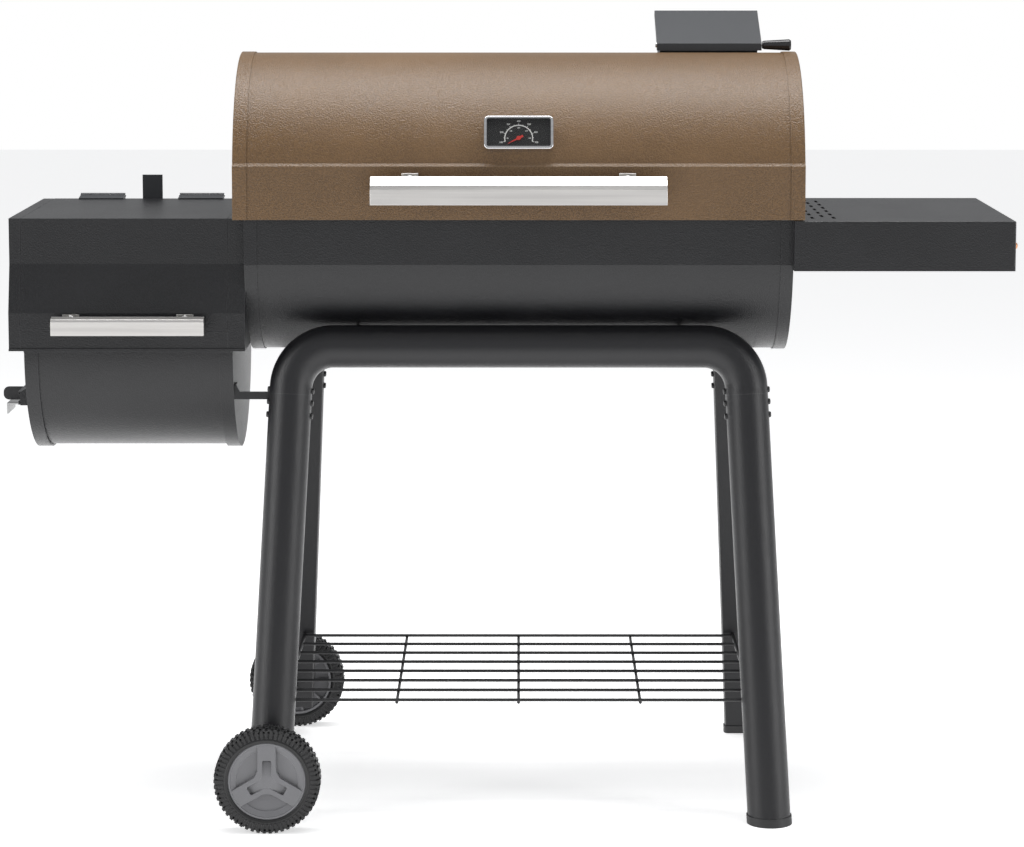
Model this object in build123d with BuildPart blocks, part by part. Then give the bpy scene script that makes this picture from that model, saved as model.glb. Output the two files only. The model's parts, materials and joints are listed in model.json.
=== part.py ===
from build123d import *
import os
from math import atan2, cos, radians, sin, sqrt, tan

os.makedirs("parts", exist_ok=True)

# An offset smoker: a barrel chamber with a hinged lid, a firebox on its left end, a table on
# its right end, and two bent-tube frames that carry it on two wheels and two feet.
# X runs from the firebox to the table, -Y is the front, Z = 0 is the ground. The origin is
# under the middle of the whole object. All sizes are in millimetres.

# ---------------------------------------------------------------- driving dimensions
sheet = 2.0                # shells of the barrel, lid and firebox
cap_sheet = 1.5            # pressed end caps, whose lips wrap the shells
plate = 3.0                # brackets, flanges and straps
running_fit = 0.05         # radial clearance round a turning pin
side_gap = 0.5             # clearance beside a moving piece
drill = 2.5                # radius of small screw shanks

rim_z = 866.0              # bottom edge of the closed lid

barrel_length = 792.0      # barrel, outside of one end cap to the other
barrel_lip = 18.0          # lip of a barrel end cap
trough_half_depth = 180.0
trough_crease_z = 799.5    # where the flat side turns into the round bottom
trough_bottom_z = 656.5
trough_rise = 10.0         # how far the trough reaches up inside the lid

lid_overhang = 15.0         # past each end of the barrel
lid_lip = 20.0
lid_half_depth = 194.0
lid_strip = 77.0           # height of the flat band along the lid's edge
lid_step = 4.0             # height of the joggle above that band
lid_step_depth = 3.6
lid_top_z = 1100.0

firebox_length = 342.0
firebox_top_z = 865.0
firebox_base_z = 677.0
firebox_front_y = -157.0   # upper front facet
firebox_waist_y = -175.0   # lower front facet
firebox_back_y = 190.0
firebox_fold_z = 799.0     # upper facet meets the slanted one
firebox_waist_z = 729.0    # slanted facet meets the lower one
firebox_sill_z = 703.0     # top of the fixed sill
firebox_left_strip = 16.5
firebox_right_strip = 25.0
seat_width = 14.0          # flange that the firebox lid rests on

drum_radius = 163.0
drum_inset_left = 20.0     # firebox end to drum end
drum_inset_right = 19.0
drum_lip = 20.0

table_length = 318.0
table_front_y = -195.0
table_back_y = 212.0
table_top_z = 864.4
table_apron = 72.0

tube_radius = 31.0
tube_flat = 12.0           # flat inner side, from the tube's axis
tube_wall = 2.0
tube_bend = 62.0
rail_y = 141.0             # tube axis under the barrel
rail_z = 676.5
foot_y = 265.0             # tube axis at the ground
rail_half_length = 328.6
foot_x = 362.0
seam_drop = 70.5           # rail axis to the end of the rail's stub, along the leg
wheel_leg_z = 44.0         # bottom end of the legs on the wheel side

wheel_radius = 76.0
wheel_width = 35.0
wheel_y = 310.0
hub_radius = 56.0
axle_radius = 6.0
axle_z = 76.0

shelf_z = 168.0
shelf_half_depth = 214.0
shelf_half_length = 340.0
shelf_wires = 8
shelf_wire_radius = 2.3
shelf_cross_pitch = 177.0

hinge_length = 69.0
pin_radius = 2.2
knuckle_radius = 4.2
lid_hinge_x = 260.0        # from the barrel's middle
lid_pin_y = 201.0
lid_pin_z = rim_z - 8.0
firebox_hinge_pitch = 154.0
firebox_pin_y = 203.0
firebox_pin_z = firebox_top_z + 3.6

gauge_width = 100.0
gauge_height = 51.0
gauge_depth = 10.0
gauge_angle = 25.3         # how far up the lid's curve, in degrees

flap_length = 156.0
flap_x = 284.0             # from the barrel's middle
flap_tilt = 26.0           # degrees above level as it stands
flap_reach = 106.0
flap_bend_y = 15.0
flap_bend_z = 1111.6
flap_pin_y = 22.0
flap_pin_z = 1109.0
flap_pin_radius = 2.0

tab_reach = 34.0           # finger tab, past the firebox's left end
screw_head = 3.0           # height of a dome head
head_radius = 4.4

# ---------------------------------------------------------------- derived places
left_reach = barrel_length / 2 + firebox_length + tab_reach
right_reach = barrel_length / 2 + table_length + screw_head
barrel_x = (left_reach - right_reach) / 2
barrel_left = barrel_x - barrel_length / 2
barrel_right = barrel_x + barrel_length / 2
firebox_left = barrel_left - firebox_length
table_right = barrel_right + table_length
drum_left = firebox_left + drum_inset_left
drum_right = barrel_left - drum_inset_right
drum_z = firebox_base_z - plate - sheet

trough_rise_z = trough_crease_z - trough_bottom_z
trough_radius = (trough_half_depth**2 + trough_rise_z**2) / (2 * trough_rise_z)
trough_axis_z = trough_bottom_z + trough_radius

lid_crease_z = rim_z + lid_strip + lid_step
lid_arc_y = lid_half_depth - lid_step_depth
lid_arc_height = lid_top_z - lid_crease_z
lid_radius = (lid_arc_y**2 + lid_arc_height**2) / (2 * lid_arc_height)
lid_axis_z = lid_top_z - lid_radius
lid_left = barrel_left - lid_overhang
lid_right = barrel_right + lid_overhang
lid_length = lid_right - lid_left
lid_skin_radius = lid_radius - cap_sheet
lid_skin_y = lid_half_depth - cap_sheet

lean = atan2(foot_y - rail_y, rail_z)
leg_run = rail_z / cos(lean)
leg_slant = atan2(foot_x - rail_half_length, leg_run)
front_frame = Plane(origin=(barrel_x, -rail_y, rail_z), x_dir=(1, 0, 0), z_dir=(0, -cos(lean), sin(lean)))
rear_frame = Plane(origin=(barrel_x, rail_y, rail_z), x_dir=(1, 0, 0), z_dir=(0, cos(lean), sin(lean)))


def leg_offset(z):
    """How far a leg's axis stands from the barrel's middle plane, along X, at a height."""
    return rail_half_length + (foot_x - rail_half_length) * (rail_z - z) / rail_z


def leg_depth(z):
    """How far a leg's axis stands from the barrel's middle, along Y, at a height."""
    return rail_y + (rail_z - z) * tan(lean)


axle_x = barrel_x - leg_offset(axle_z)


# ---------------------------------------------------------------- sections
def polygon(*points, mode=Mode.ADD):
    """Fill a closed polygon, whose points are given where they lie."""
    Polygon(*points, align=None, mode=mode)


def trough_section(inset, top_z, mode=Mode.ADD):
    """Barrel trough in Y and Z: flat sides above a round bottom, set in from the outside."""
    half = trough_half_depth - inset
    radius = trough_radius - inset
    crease_z = trough_axis_z - sqrt(radius**2 - half**2)
    with BuildLine() as outline:
        Polyline((-half, crease_z), (-half, top_z), (half, top_z), (half, crease_z))
        ThreePointArc((half, crease_z), (0, trough_axis_z - radius), (-half, crease_z))
    make_face(outline.edges(), mode=mode)


def lid_section(inset, foot_z, mode=Mode.ADD):
    """Lid in Y and Z: a flat band, a small step and a round top, set in from the outside."""
    half = lid_half_depth - inset
    radius = lid_radius - inset
    arc_y = sqrt(radius**2 - (lid_crease_z - lid_axis_z) ** 2)
    step_z = lid_crease_z - lid_step
    with BuildLine() as outline:
        Polyline((-arc_y, lid_crease_z), (-half, step_z), (-half, foot_z), (half, foot_z),
                 (half, step_z), (arc_y, lid_crease_z))
        ThreePointArc((arc_y, lid_crease_z), (0, lid_axis_z + radius), (-arc_y, lid_crease_z))
    make_face(outline.edges(), mode=mode)


def firebox_section(inset, foot_z, mode=Mode.ADD):
    """Firebox housing in Y and Z, set in from its outside."""
    front_y = firebox_front_y + inset
    waist_y = firebox_waist_y + inset
    back_y = firebox_back_y - inset
    top_z = firebox_top_z - inset
    polygon((back_y, foot_z), (back_y, top_z), (front_y, top_z), (front_y, firebox_fold_z),
            (waist_y, firebox_waist_z), (waist_y, foot_z), mode=mode)


def half_disc(radius, centre_z, mode=Mode.ADD):
    """Lower half of a disc in Y and Z."""
    with BuildLine() as outline:
        ThreePointArc((-radius, centre_z), (0, centre_z - radius), (radius, centre_z))
        Line((radius, centre_z), (-radius, centre_z))
    make_face(outline.edges(), mode=mode)


def tube_section(inset, mode=Mode.ADD):
    """D-shaped tube: round outside, flat towards the barrel, soft corners."""
    radius = tube_radius - inset
    flat = tube_flat - inset
    half_chord = sqrt(radius**2 - flat**2)
    with BuildLine() as outline:
        ThreePointArc((-half_chord, -flat), (0, radius), (half_chord, -flat))
        Line((half_chord, -flat), (-half_chord, -flat))
    make_face(outline.edges(), mode=mode)


def dome_screw(seat, shank_length, radius=head_radius, height=screw_head, shank=drill):
    """Dome-head screw: its head stands on the seat plane and its shank goes in behind it."""
    with BuildPart(seat) as screw:
        Cylinder(radius, height, align=(Align.CENTER, Align.CENTER, Align.MIN))
        fillet(screw.faces().sort_by(Axis(seat.origin, seat.z_dir))[-1].edges(), height * 0.6)
        Cylinder(shank, shank_length, align=(Align.CENTER, Align.CENTER, Align.MAX))
    return screw.part


# ================================================================ BARREL
with BuildPart() as barrel_trough:
    with BuildSketch(Plane.YZ.offset(barrel_left + cap_sheet)):
        trough_section(cap_sheet, rim_z + trough_rise)
        trough_section(cap_sheet + sheet, rim_z + trough_rise + sheet, mode=Mode.SUBTRACT)
    extrude(amount=barrel_length - 2 * cap_sheet)
barrel_trough.part.label = "barrel_trough"

# The smoke passes from the firebox to the barrel through a slot in both end plates.
passage_width = 190.0
passage_low_z = 742.0
passage_high_z = 822.0


def passage_section(mode=Mode.SUBTRACT):
    with Locations((0, (passage_low_z + passage_high_z) / 2)):
        SlotOverall(passage_width, passage_high_z - passage_low_z, mode=mode)


def barrel_cap(outer_x, inward):
    """Pressed end cap of the barrel: an end plate with a lip that wraps the trough."""
    with BuildPart() as cap:
        with BuildSketch(Plane.YZ.offset(outer_x)):
            trough_section(0, rim_z - 2 * side_gap)
        extrude(amount=inward * barrel_lip)
        with BuildSketch(Plane.YZ.offset(outer_x + inward * cap_sheet)):
            trough_section(cap_sheet, rim_z + cap_sheet)
        extrude(amount=inward * barrel_lip, mode=Mode.SUBTRACT)
        with BuildSketch(Plane.YZ.offset(outer_x)):
            trough_section(cap_sheet + sheet, rim_z + trough_rise)
        extrude(amount=inward * cap_sheet)
    return cap.part


with BuildPart() as barrel_end_left:
    add(barrel_cap(barrel_left, 1))
    with BuildSketch(Plane.YZ.offset(barrel_left)):
        passage_section(mode=Mode.ADD)
    extrude(amount=cap_sheet, mode=Mode.SUBTRACT)
barrel_end_left.part.label = "barrel_end_left"

with BuildPart() as barrel_end_right:
    add(barrel_cap(barrel_right, -1))
barrel_end_right.part.label = "barrel_end_right"

# Angle rails inside the trough, and the two grates that rest on them.
grate_z = 846.0
grate_rail_width = 14.0
trough_inner_y = trough_half_depth - cap_sheet - sheet
with BuildPart() as grate_rails:
    with BuildSketch(Plane.YZ.offset(barrel_left + barrel_lip)):
        polygon((-trough_inner_y, grate_z - grate_rail_width), (-trough_inner_y, grate_z),
                (-trough_inner_y + grate_rail_width, grate_z),
                (-trough_inner_y + grate_rail_width, grate_z - sheet),
                (-trough_inner_y + sheet, grate_z - sheet),
                (-trough_inner_y + sheet, grate_z - grate_rail_width))
    extrude(amount=barrel_length - 2 * barrel_lip)
    mirror(about=Plane.XZ)
grate_rails.part.label = "grate_rails"

grate_gap = 3.0
grate_bar = 6.0
grate_frame = 9.0
grate_bars = 17
grate_length = (barrel_length - 2 * barrel_lip - grate_gap) / 2
grate_depth = 2 * (trough_inner_y - grate_gap)


def cooking_grate(centre_x):
    """Cast grate: a rim, bars from front to back and two stiffeners along its length."""
    bar_pitch = (grate_length - grate_frame) / (grate_bars + 1)
    with BuildPart() as grate:
        with BuildSketch(Plane.XY.offset(grate_z)):
            with Locations((centre_x, 0)):
                Rectangle(grate_length, grate_depth)
                Rectangle(grate_length - 2 * grate_frame, grate_depth - 2 * grate_frame, mode=Mode.SUBTRACT)
                with GridLocations(bar_pitch, 1, grate_bars, 1):
                    Rectangle(grate_bar, grate_depth - grate_frame)
                with GridLocations(1, grate_depth / 3, 1, 2):
                    Rectangle(grate_length - grate_frame, grate_bar)
        extrude(amount=grate_bar)
    return grate.part


with BuildPart() as cooking_grate_left:
    add(cooking_grate(barrel_x - (grate_length + grate_gap) / 2))
cooking_grate_left.part.label = "cooking_grate_left"

with BuildPart() as cooking_grate_right:
    add(cooking_grate(barrel_x + (grate_length + grate_gap) / 2))
cooking_grate_right.part.label = "cooking_grate_right"

# ================================================================ LID
# Holes in the lid's skin: the gauge stem, the exhaust and the handle bolts.
gauge_up = radians(gauge_angle)
gauge_plane = Plane(
    origin=(barrel_x, -lid_skin_radius * cos(gauge_up), lid_axis_z + lid_skin_radius * sin(gauge_up)),
    x_dir=(1, 0, 0), z_dir=(0, -cos(gauge_up), sin(gauge_up)))
stem_radius = 4.5
needle_drop = 8.0          # the needle turns this far below the dial's middle
needle_plane = Plane(origin=gauge_plane.from_local_coords((0, -needle_drop, 0)),
                     x_dir=gauge_plane.x_dir, z_dir=gauge_plane.z_dir)
exhaust_x = barrel_x + flap_x
exhaust_length = flap_length - 10.0
exhaust_front_y = 35.0
exhaust_back_y = 116.0
exhaust_top_z = 1112.0
lid_bolt_x = 156.0
lid_bolt_z = 924.5
bolt_radius = 6.0
bolt_shank = 3.0

with BuildPart() as lid_shell:
    with BuildSketch(Plane.YZ.offset(lid_left + cap_sheet)):
        lid_section(cap_sheet, rim_z)
        lid_section(cap_sheet + sheet, rim_z - sheet, mode=Mode.SUBTRACT)
    extrude(amount=lid_length - 2 * cap_sheet)
    with BuildSketch(needle_plane):
        Circle(stem_radius)
    extrude(amount=4 * sheet, both=True, mode=Mode.SUBTRACT)
    with BuildSketch(Plane.XY.offset(lid_axis_z)):
        with Locations((exhaust_x, (exhaust_front_y + exhaust_back_y) / 2)):
            Rectangle(exhaust_length - 2 * sheet, exhaust_back_y - exhaust_front_y - 2 * sheet)
    extrude(amount=lid_radius, mode=Mode.SUBTRACT)
    with BuildSketch(Plane.XZ.offset(lid_skin_y)):
        with Locations((barrel_x - lid_bolt_x, lid_bolt_z), (barrel_x + lid_bolt_x, lid_bolt_z)):
            Circle(bolt_shank)
    extrude(amount=-2 * sheet, mode=Mode.SUBTRACT)
lid_shell.part.label = "lid_shell"


def lid_cap(outer_x, inward):
    """Pressed end cap of the lid: an end plate with a lip that wraps the skin."""
    with BuildPart() as cap:
        with BuildSketch(Plane.YZ.offset(outer_x)):
            lid_section(0, rim_z)
        extrude(amount=inward * lid_lip)
        fillet(cap.faces().sort_by(Axis.X)[0 if inward > 0 else -1].edges().filter_by(GeomType.CIRCLE), 1.2)
        with BuildSketch(Plane.YZ.offset(outer_x + inward * cap_sheet)):
            lid_section(cap_sheet, rim_z - cap_sheet)
        extrude(amount=inward * lid_lip, mode=Mode.SUBTRACT)
    return cap.part


with BuildPart() as lid_end_left:
    add(lid_cap(lid_left, 1))
lid_end_left.part.label = "lid_end_left"

with BuildPart() as lid_end_right:
    add(lid_cap(lid_right, -1))
lid_end_right.part.label = "lid_end_right"


# Both handles are folded channels, open at the back, that stand off on two brackets.
def handle_channel(centre_x, length, face_y, bottom_z, face, bevel, slope, depth):
    """Folded handle: a flat face, a bevel and a sloped top, closed ends and an open back."""
    bevel_back = bevel * 0.6
    with BuildPart() as channel:
        with BuildSketch(Plane.YZ.offset(centre_x - length / 2)):
            polygon((face_y, bottom_z), (face_y, bottom_z + face),
                    (face_y + bevel_back, bottom_z + face + bevel),
                    (face_y + depth, bottom_z + face + bevel + slope), (face_y + depth, bottom_z))
        extrude(amount=length)
        offset(amount=-cap_sheet, openings=channel.faces().sort_by(Axis.Y)[-1])
    return channel.part


def handle_bracket(centre_x, skin_y, face_y, arm_z, top_z, bolt_z):
    """Bent strap: a foot against the skin and an arm out to the back of the handle's face."""
    with BuildPart() as bracket:
        with BuildSketch(Plane.YZ.offset(centre_x - 12)):
            polygon((skin_y, arm_z), (skin_y, top_z), (skin_y - plate, top_z),
                    (skin_y - plate, arm_z + plate),
                    (face_y + cap_sheet, arm_z + plate), (face_y + cap_sheet, arm_z))
        extrude(amount=24)
        with BuildSketch(Plane.XZ.offset(-skin_y)):
            with Locations((centre_x, bolt_z)):
                Circle(bolt_shank)
        extrude(amount=plate, mode=Mode.SUBTRACT)
    return bracket.part


def handle_bolt(centre_x, skin_y, bolt_z):
    """Dome-head bolt through a bracket and the skin, with its nut inside."""
    seat = Plane(origin=(centre_x, skin_y - plate, bolt_z), x_dir=(1, 0, 0), z_dir=(0, -1, 0))
    with BuildPart() as bolt:
        add(dome_screw(seat, plate + sheet + 5.0, bolt_radius, 3.6, bolt_shank))
        with BuildSketch(seat.offset(-plate - sheet)):
            RegularPolygon(bolt_radius * 0.9, 6)
        extrude(amount=-4.0)
    return bolt.part


lid_handle_length = 423.0
lid_handle_face_y = -237.0
lid_handle_z = 891.0
with BuildPart() as lid_handle:
    add(handle_channel(barrel_x, lid_handle_length, lid_handle_face_y, lid_handle_z, 22.5, 5.5, 12.0, 16.0))
    for bolt_x in (barrel_x - lid_bolt_x, barrel_x + lid_bolt_x):
        add(handle_bracket(bolt_x, -lid_skin_y, lid_handle_face_y, lid_handle_z + 9,
                           lid_bolt_z + 9, lid_bolt_z))
lid_handle.part.label = "lid_handle"

with BuildPart() as lid_handle_bolts:
    for bolt_x in (barrel_x - lid_bolt_x, barrel_x + lid_bolt_x):
        add(handle_bolt(bolt_x, -lid_skin_y, lid_bolt_z))
lid_handle_bolts.part.label = "lid_handle_bolts"

# ---------------------------------------------------------------- temperature gauge
# The case is a shallow tray. Its stem goes through the lid, and a nut inside holds it.
gauge_corner = 7.0
gauge_rim = 4.0
stem_length = 70.0
needle_bore = 6.5
dial_floor = 4.5
dial_sheet = 1.0
glass_sheet = 1.4
needle_pin = 1.2
with BuildPart() as gauge_case:
    with BuildSketch(gauge_plane.offset(-2.5)):
        RectangleRounded(gauge_width, gauge_height, gauge_corner)
    extrude(amount=gauge_depth + 2.5)
    fillet(gauge_case.faces().sort_by(Axis(gauge_plane.origin, gauge_plane.z_dir))[-1].edges(), 1.6)
    with BuildSketch(gauge_plane.offset(dial_floor)):
        RectangleRounded(gauge_width - 2 * gauge_rim, gauge_height - 2 * gauge_rim, gauge_corner - gauge_rim)
    extrude(amount=gauge_depth, mode=Mode.SUBTRACT)
    with BuildSketch(Plane.YZ.offset(barrel_x)):
        with Locations((0, lid_axis_z)):
            Circle(lid_skin_radius)
    extrude(amount=gauge_width, both=True, mode=Mode.SUBTRACT)
    with BuildSketch(needle_plane.offset(dial_floor)):
        Circle(stem_radius)
    extrude(amount=-stem_length)
    with BuildSketch(needle_plane.offset(-sheet - side_gap)):
        RegularPolygon(2 * stem_radius, 6)
    extrude(amount=-5.0)
    with BuildSketch(needle_plane.offset(dial_floor)):
        Circle(needle_pin + running_fit)
    extrude(amount=-needle_bore, mode=Mode.SUBTRACT)
gauge_case.part.label = "gauge_case"

with BuildPart() as gauge_dial:
    with BuildSketch(gauge_plane.offset(dial_floor)):
        RectangleRounded(gauge_width - 2 * gauge_rim, gauge_height - 2 * gauge_rim, gauge_corner - gauge_rim)
        with Locations((0, -needle_drop)):
            Circle(needle_pin + running_fit, mode=Mode.SUBTRACT)
    extrude(amount=dial_sheet)
gauge_dial.part.label = "gauge_dial"

with BuildPart() as gauge_glass:
    with BuildSketch(gauge_plane.offset(gauge_depth - 0.6)):
        RectangleRounded(gauge_width - 2 * gauge_rim, gauge_height - 2 * gauge_rim, gauge_corner - gauge_rim)
    extrude(amount=-glass_sheet)
gauge_glass.part.label = "gauge_glass"

needle_z = dial_floor + dial_sheet + 1.0
needle_length = 17.5
needle_tail = 7.0
needle_rest = 209.0
with BuildPart() as gauge_needle:
    with BuildSketch(needle_plane.offset(needle_z)):
        Polygon((-needle_tail, -1.7), (needle_length, -0.3), (needle_length, 0.3), (-needle_tail, 1.7),
                rotation=needle_rest, align=None)
        Circle(3.2)
    extrude(amount=0.8)
    with BuildSketch(needle_plane.offset(needle_z)):
        Circle(needle_pin)
    extrude(amount=-(needle_z - dial_floor + needle_bore - 1.5))
gauge_needle.part.label = "gauge_needle"

# ---------------------------------------------------------------- exhaust and its flap
ear_radius = 3.7
ear_drop = 12.0            # the ears end above the path of the flap's front lip
exhaust_base_z = lid_axis_z + 150.0
exhaust_depth = exhaust_back_y - exhaust_front_y
with BuildPart() as exhaust_collar:
    with BuildSketch(Plane.XY.offset(exhaust_base_z)):
        with Locations((exhaust_x, (exhaust_front_y + exhaust_back_y) / 2)):
            Rectangle(exhaust_length, exhaust_depth)
            Rectangle(exhaust_length - 2 * sheet, exhaust_depth - 2 * sheet, mode=Mode.SUBTRACT)
    extrude(amount=exhaust_top_z - exhaust_base_z)
    for ear_x in (exhaust_x - exhaust_length / 2, exhaust_x + exhaust_length / 2 - sheet):
        with BuildSketch(Plane.YZ.offset(ear_x)):
            polygon((flap_pin_y, flap_pin_z + ear_radius), (flap_pin_y, flap_pin_z - ear_radius),
                    (exhaust_front_y + sheet, flap_pin_z - ear_drop),
                    (exhaust_front_y + sheet, exhaust_top_z))
            with Locations((flap_pin_y, flap_pin_z)):
                Circle(ear_radius)
                Circle(flap_pin_radius + running_fit, mode=Mode.SUBTRACT)
        extrude(amount=sheet)
    with BuildSketch(Plane.YZ.offset(exhaust_x)):
        with Locations((0, lid_axis_z)):
            Circle(lid_skin_radius)
    extrude(amount=flap_length, both=True, mode=Mode.SUBTRACT)
exhaust_collar.part.label = "exhaust_collar"

tilt = radians(flap_tilt)
flap_skirt = 8.0
flap_back = (flap_bend_y + flap_reach * cos(tilt), flap_bend_z + flap_reach * sin(tilt))
flap_under = (flap_back[0] + flap_skirt * sin(tilt), flap_back[1] - flap_skirt * cos(tilt))
flap_lip_z = 1101.0
skirt_y = 27.0
skirt_z = flap_bend_z - flap_skirt * cos(tilt) + (skirt_y - flap_bend_y - flap_skirt * sin(tilt)) * tan(tilt)
flap_left = exhaust_x - flap_length / 2
with BuildPart() as exhaust_flap:
    with BuildSketch(Plane.YZ.offset(flap_left)):
        polygon((flap_bend_y, flap_bend_z), flap_back, flap_under, (skirt_y, skirt_z),
                (skirt_y, flap_lip_z + cap_sheet), (flap_bend_y + cap_sheet, flap_lip_z),
                (flap_bend_y, flap_lip_z))
    extrude(amount=flap_length)
    with BuildSketch(Plane.YZ.offset(flap_left + cap_sheet)):
        polygon((flap_bend_y + cap_sheet, flap_bend_z - cap_sheet / cos(tilt) + cap_sheet * tan(tilt)),
                (flap_back[0] + 40 * cos(tilt) + cap_sheet * sin(tilt),
                 flap_back[1] + 40 * sin(tilt) - cap_sheet * cos(tilt)),
                (flap_back[0] + 40, flap_lip_z - 10), (flap_bend_y + cap_sheet, flap_lip_z - 10))
    extrude(amount=flap_length - 2 * cap_sheet, mode=Mode.SUBTRACT)
    with BuildSketch(Plane.YZ.offset(flap_left)):
        with Locations((flap_pin_y, flap_pin_z)):
            Circle(flap_pin_radius)
    extrude(amount=flap_length, mode=Mode.SUBTRACT)
exhaust_flap.part.label = "exhaust_flap"

with BuildPart() as flap_spindle:
    with BuildSketch(Plane.YZ.offset(flap_left)):
        with Locations((flap_pin_y, flap_pin_z)):
            Circle(flap_pin_radius)
    extrude(amount=flap_length + 12.0)
    with BuildSketch(Plane.YZ.offset(flap_left)):
        with Locations((flap_pin_y, flap_pin_z)):
            Circle(flap_pin_radius * 1.8)
    extrude(amount=-2.0)
flap_spindle.part.label = "flap_spindle"

grip_length = 43.0
grip_x = flap_left + flap_length + 1.0
with BuildPart() as flap_grip:
    with BuildSketch(Plane(origin=(grip_x, flap_pin_y, flap_pin_z), x_dir=(1, 0, 0), z_dir=(0, -1, 0))):
        polygon((0, 0), (0, 5.0), (3, 6.4), (grip_length - 2.5, 8.6), (grip_length, 6.8), (grip_length, 0))
    revolve(axis=Axis((grip_x, flap_pin_y, flap_pin_z), (1, 0, 0)))
    with BuildSketch(Plane.YZ.offset(grip_x)):
        with Locations((flap_pin_y, flap_pin_z)):
            Circle(flap_pin_radius)
    extrude(amount=11.0, mode=Mode.SUBTRACT)
flap_grip.part.label = "flap_grip"

# ================================================================ FIREBOX HOUSING
fold_gap = 1.0             # under-flange below the underside of the lid panel
under_inset = sheet + fold_gap


def firebox_cap(outer_x, inward, strip):
    """End of the housing: a plate, a strip that shows, and a lower flange that the lid rests on."""
    seat_x = outer_x + inward * strip
    with BuildPart() as cap:
        with BuildSketch(Plane.YZ.offset(outer_x)):
            firebox_section(0, firebox_base_z)
        extrude(amount=inward * strip)
        with BuildSketch(Plane.YZ.offset(seat_x)):
            firebox_section(under_inset, firebox_base_z)
        extrude(amount=inward * seat_width)
        with BuildSketch(Plane.YZ.offset(outer_x + inward * sheet)):
            firebox_section(sheet, firebox_base_z - sheet)
        extrude(amount=inward * (strip - 2 * sheet), mode=Mode.SUBTRACT)
        with BuildSketch(Plane.YZ.offset(seat_x - inward * sheet)):
            firebox_section(under_inset + cap_sheet, firebox_base_z - sheet)
        extrude(amount=inward * (seat_width + sheet), mode=Mode.SUBTRACT)
        with BuildSketch(Plane.XY.offset(firebox_base_z)):
            with Locations((seat_x + inward * seat_width / 2, firebox_back_y)):
                Rectangle(seat_width, 4 * under_inset)
        extrude(amount=firebox_top_z - firebox_base_z - under_inset - side_gap, mode=Mode.SUBTRACT)
        with BuildSketch(Plane.XY.offset(firebox_base_z)):
            with Locations((seat_x + inward * seat_width / 2, firebox_waist_y)):
                Rectangle(seat_width, 6 * under_inset)
        extrude(amount=firebox_sill_z - firebox_base_z, mode=Mode.SUBTRACT)
    return cap.part


with BuildPart() as firebox_end_left:
    add(firebox_cap(firebox_left, 1, firebox_left_strip))
firebox_end_left.part.label = "firebox_end_left"

with BuildPart() as firebox_end_right:
    add(firebox_cap(barrel_left, -1, firebox_right_strip))
    with BuildSketch(Plane.YZ.offset(barrel_left)):
        passage_section(mode=Mode.ADD)
    extrude(amount=-sheet, mode=Mode.SUBTRACT)
firebox_end_right.part.label = "firebox_end_right"

panel_left = firebox_left + firebox_left_strip
panel_right = barrel_left - firebox_right_strip
with BuildPart() as firebox_back:
    with BuildSketch(Plane.XZ.offset(-firebox_back_y)):
        with Locations(((panel_left + panel_right) / 2, firebox_base_z)):
            Rectangle(panel_right - panel_left, firebox_top_z - under_inset - side_gap - firebox_base_z,
                      align=(Align.CENTER, Align.MIN))
    extrude(amount=sheet)
firebox_back.part.label = "firebox_back"

# The base is a rectangular flange with a low sill across the front, below the lid.
flange_width = 26.0
with BuildPart() as firebox_base:
    with BuildSketch(Plane.XY.offset(firebox_base_z - plate)):
        with Locations(((firebox_left + barrel_left) / 2, (firebox_waist_y + firebox_back_y) / 2)):
            Rectangle(firebox_length, firebox_back_y - firebox_waist_y + 6)
        with Locations(((drum_left + drum_right) / 2, 0)):
            Rectangle(drum_right - drum_left - 2 * flange_width, 2 * (drum_radius - 6), mode=Mode.SUBTRACT)
    extrude(amount=plate)
    with BuildSketch(Plane.XY.offset(firebox_base_z)):
        with Locations(((panel_left + panel_right) / 2, firebox_waist_y)):
            Rectangle(panel_right - panel_left, sheet, align=(Align.CENTER, Align.MIN))
    extrude(amount=firebox_sill_z - firebox_base_z)
firebox_base.part.label = "firebox_base"

# ---------------------------------------------------------------- firebox lid
lid_back_y = firebox_back_y + 2.0
firebox_bolt_x = (-85.0, 80.0)
firebox_handle_x = (panel_left + panel_right) / 2 + 9.0
firebox_bolt_z = 720.5
with BuildPart() as firebox_lid:
    with BuildSketch(Plane.YZ.offset(panel_left + side_gap)):
        polygon((lid_back_y, firebox_top_z), (firebox_front_y, firebox_top_z),
                (firebox_front_y, firebox_fold_z), (firebox_waist_y, firebox_waist_z),
                (firebox_waist_y, firebox_sill_z + side_gap),
                (firebox_waist_y + sheet, firebox_sill_z + side_gap),
                (firebox_waist_y + sheet, firebox_waist_z),
                (firebox_front_y + sheet, firebox_fold_z), (firebox_front_y + sheet, firebox_top_z - sheet),
                (lid_back_y, firebox_top_z - sheet))
    extrude(amount=panel_right - panel_left - 2 * side_gap)
    with BuildSketch(Plane.XZ.offset(-firebox_waist_y)):
        for bolt_x in firebox_bolt_x:
            with Locations((firebox_handle_x + bolt_x, firebox_bolt_z)):
                Circle(bolt_shank)
    extrude(amount=-2 * sheet, mode=Mode.SUBTRACT)
firebox_lid.part.label = "firebox_lid"

firebox_handle_length = 220.0
firebox_handle_face_y = -211.0
firebox_handle_z = 700.5
with BuildPart() as firebox_handle:
    add(handle_channel(firebox_handle_x, firebox_handle_length, firebox_handle_face_y, firebox_handle_z,
                       20.0, 3.4, 3.1, 13.0))
    for bolt_x in firebox_bolt_x:
        add(handle_bracket(firebox_handle_x + bolt_x, firebox_waist_y, firebox_handle_face_y,
                           firebox_handle_z + 6, firebox_bolt_z + 7, firebox_bolt_z))
firebox_handle.part.label = "firebox_handle"

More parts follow.
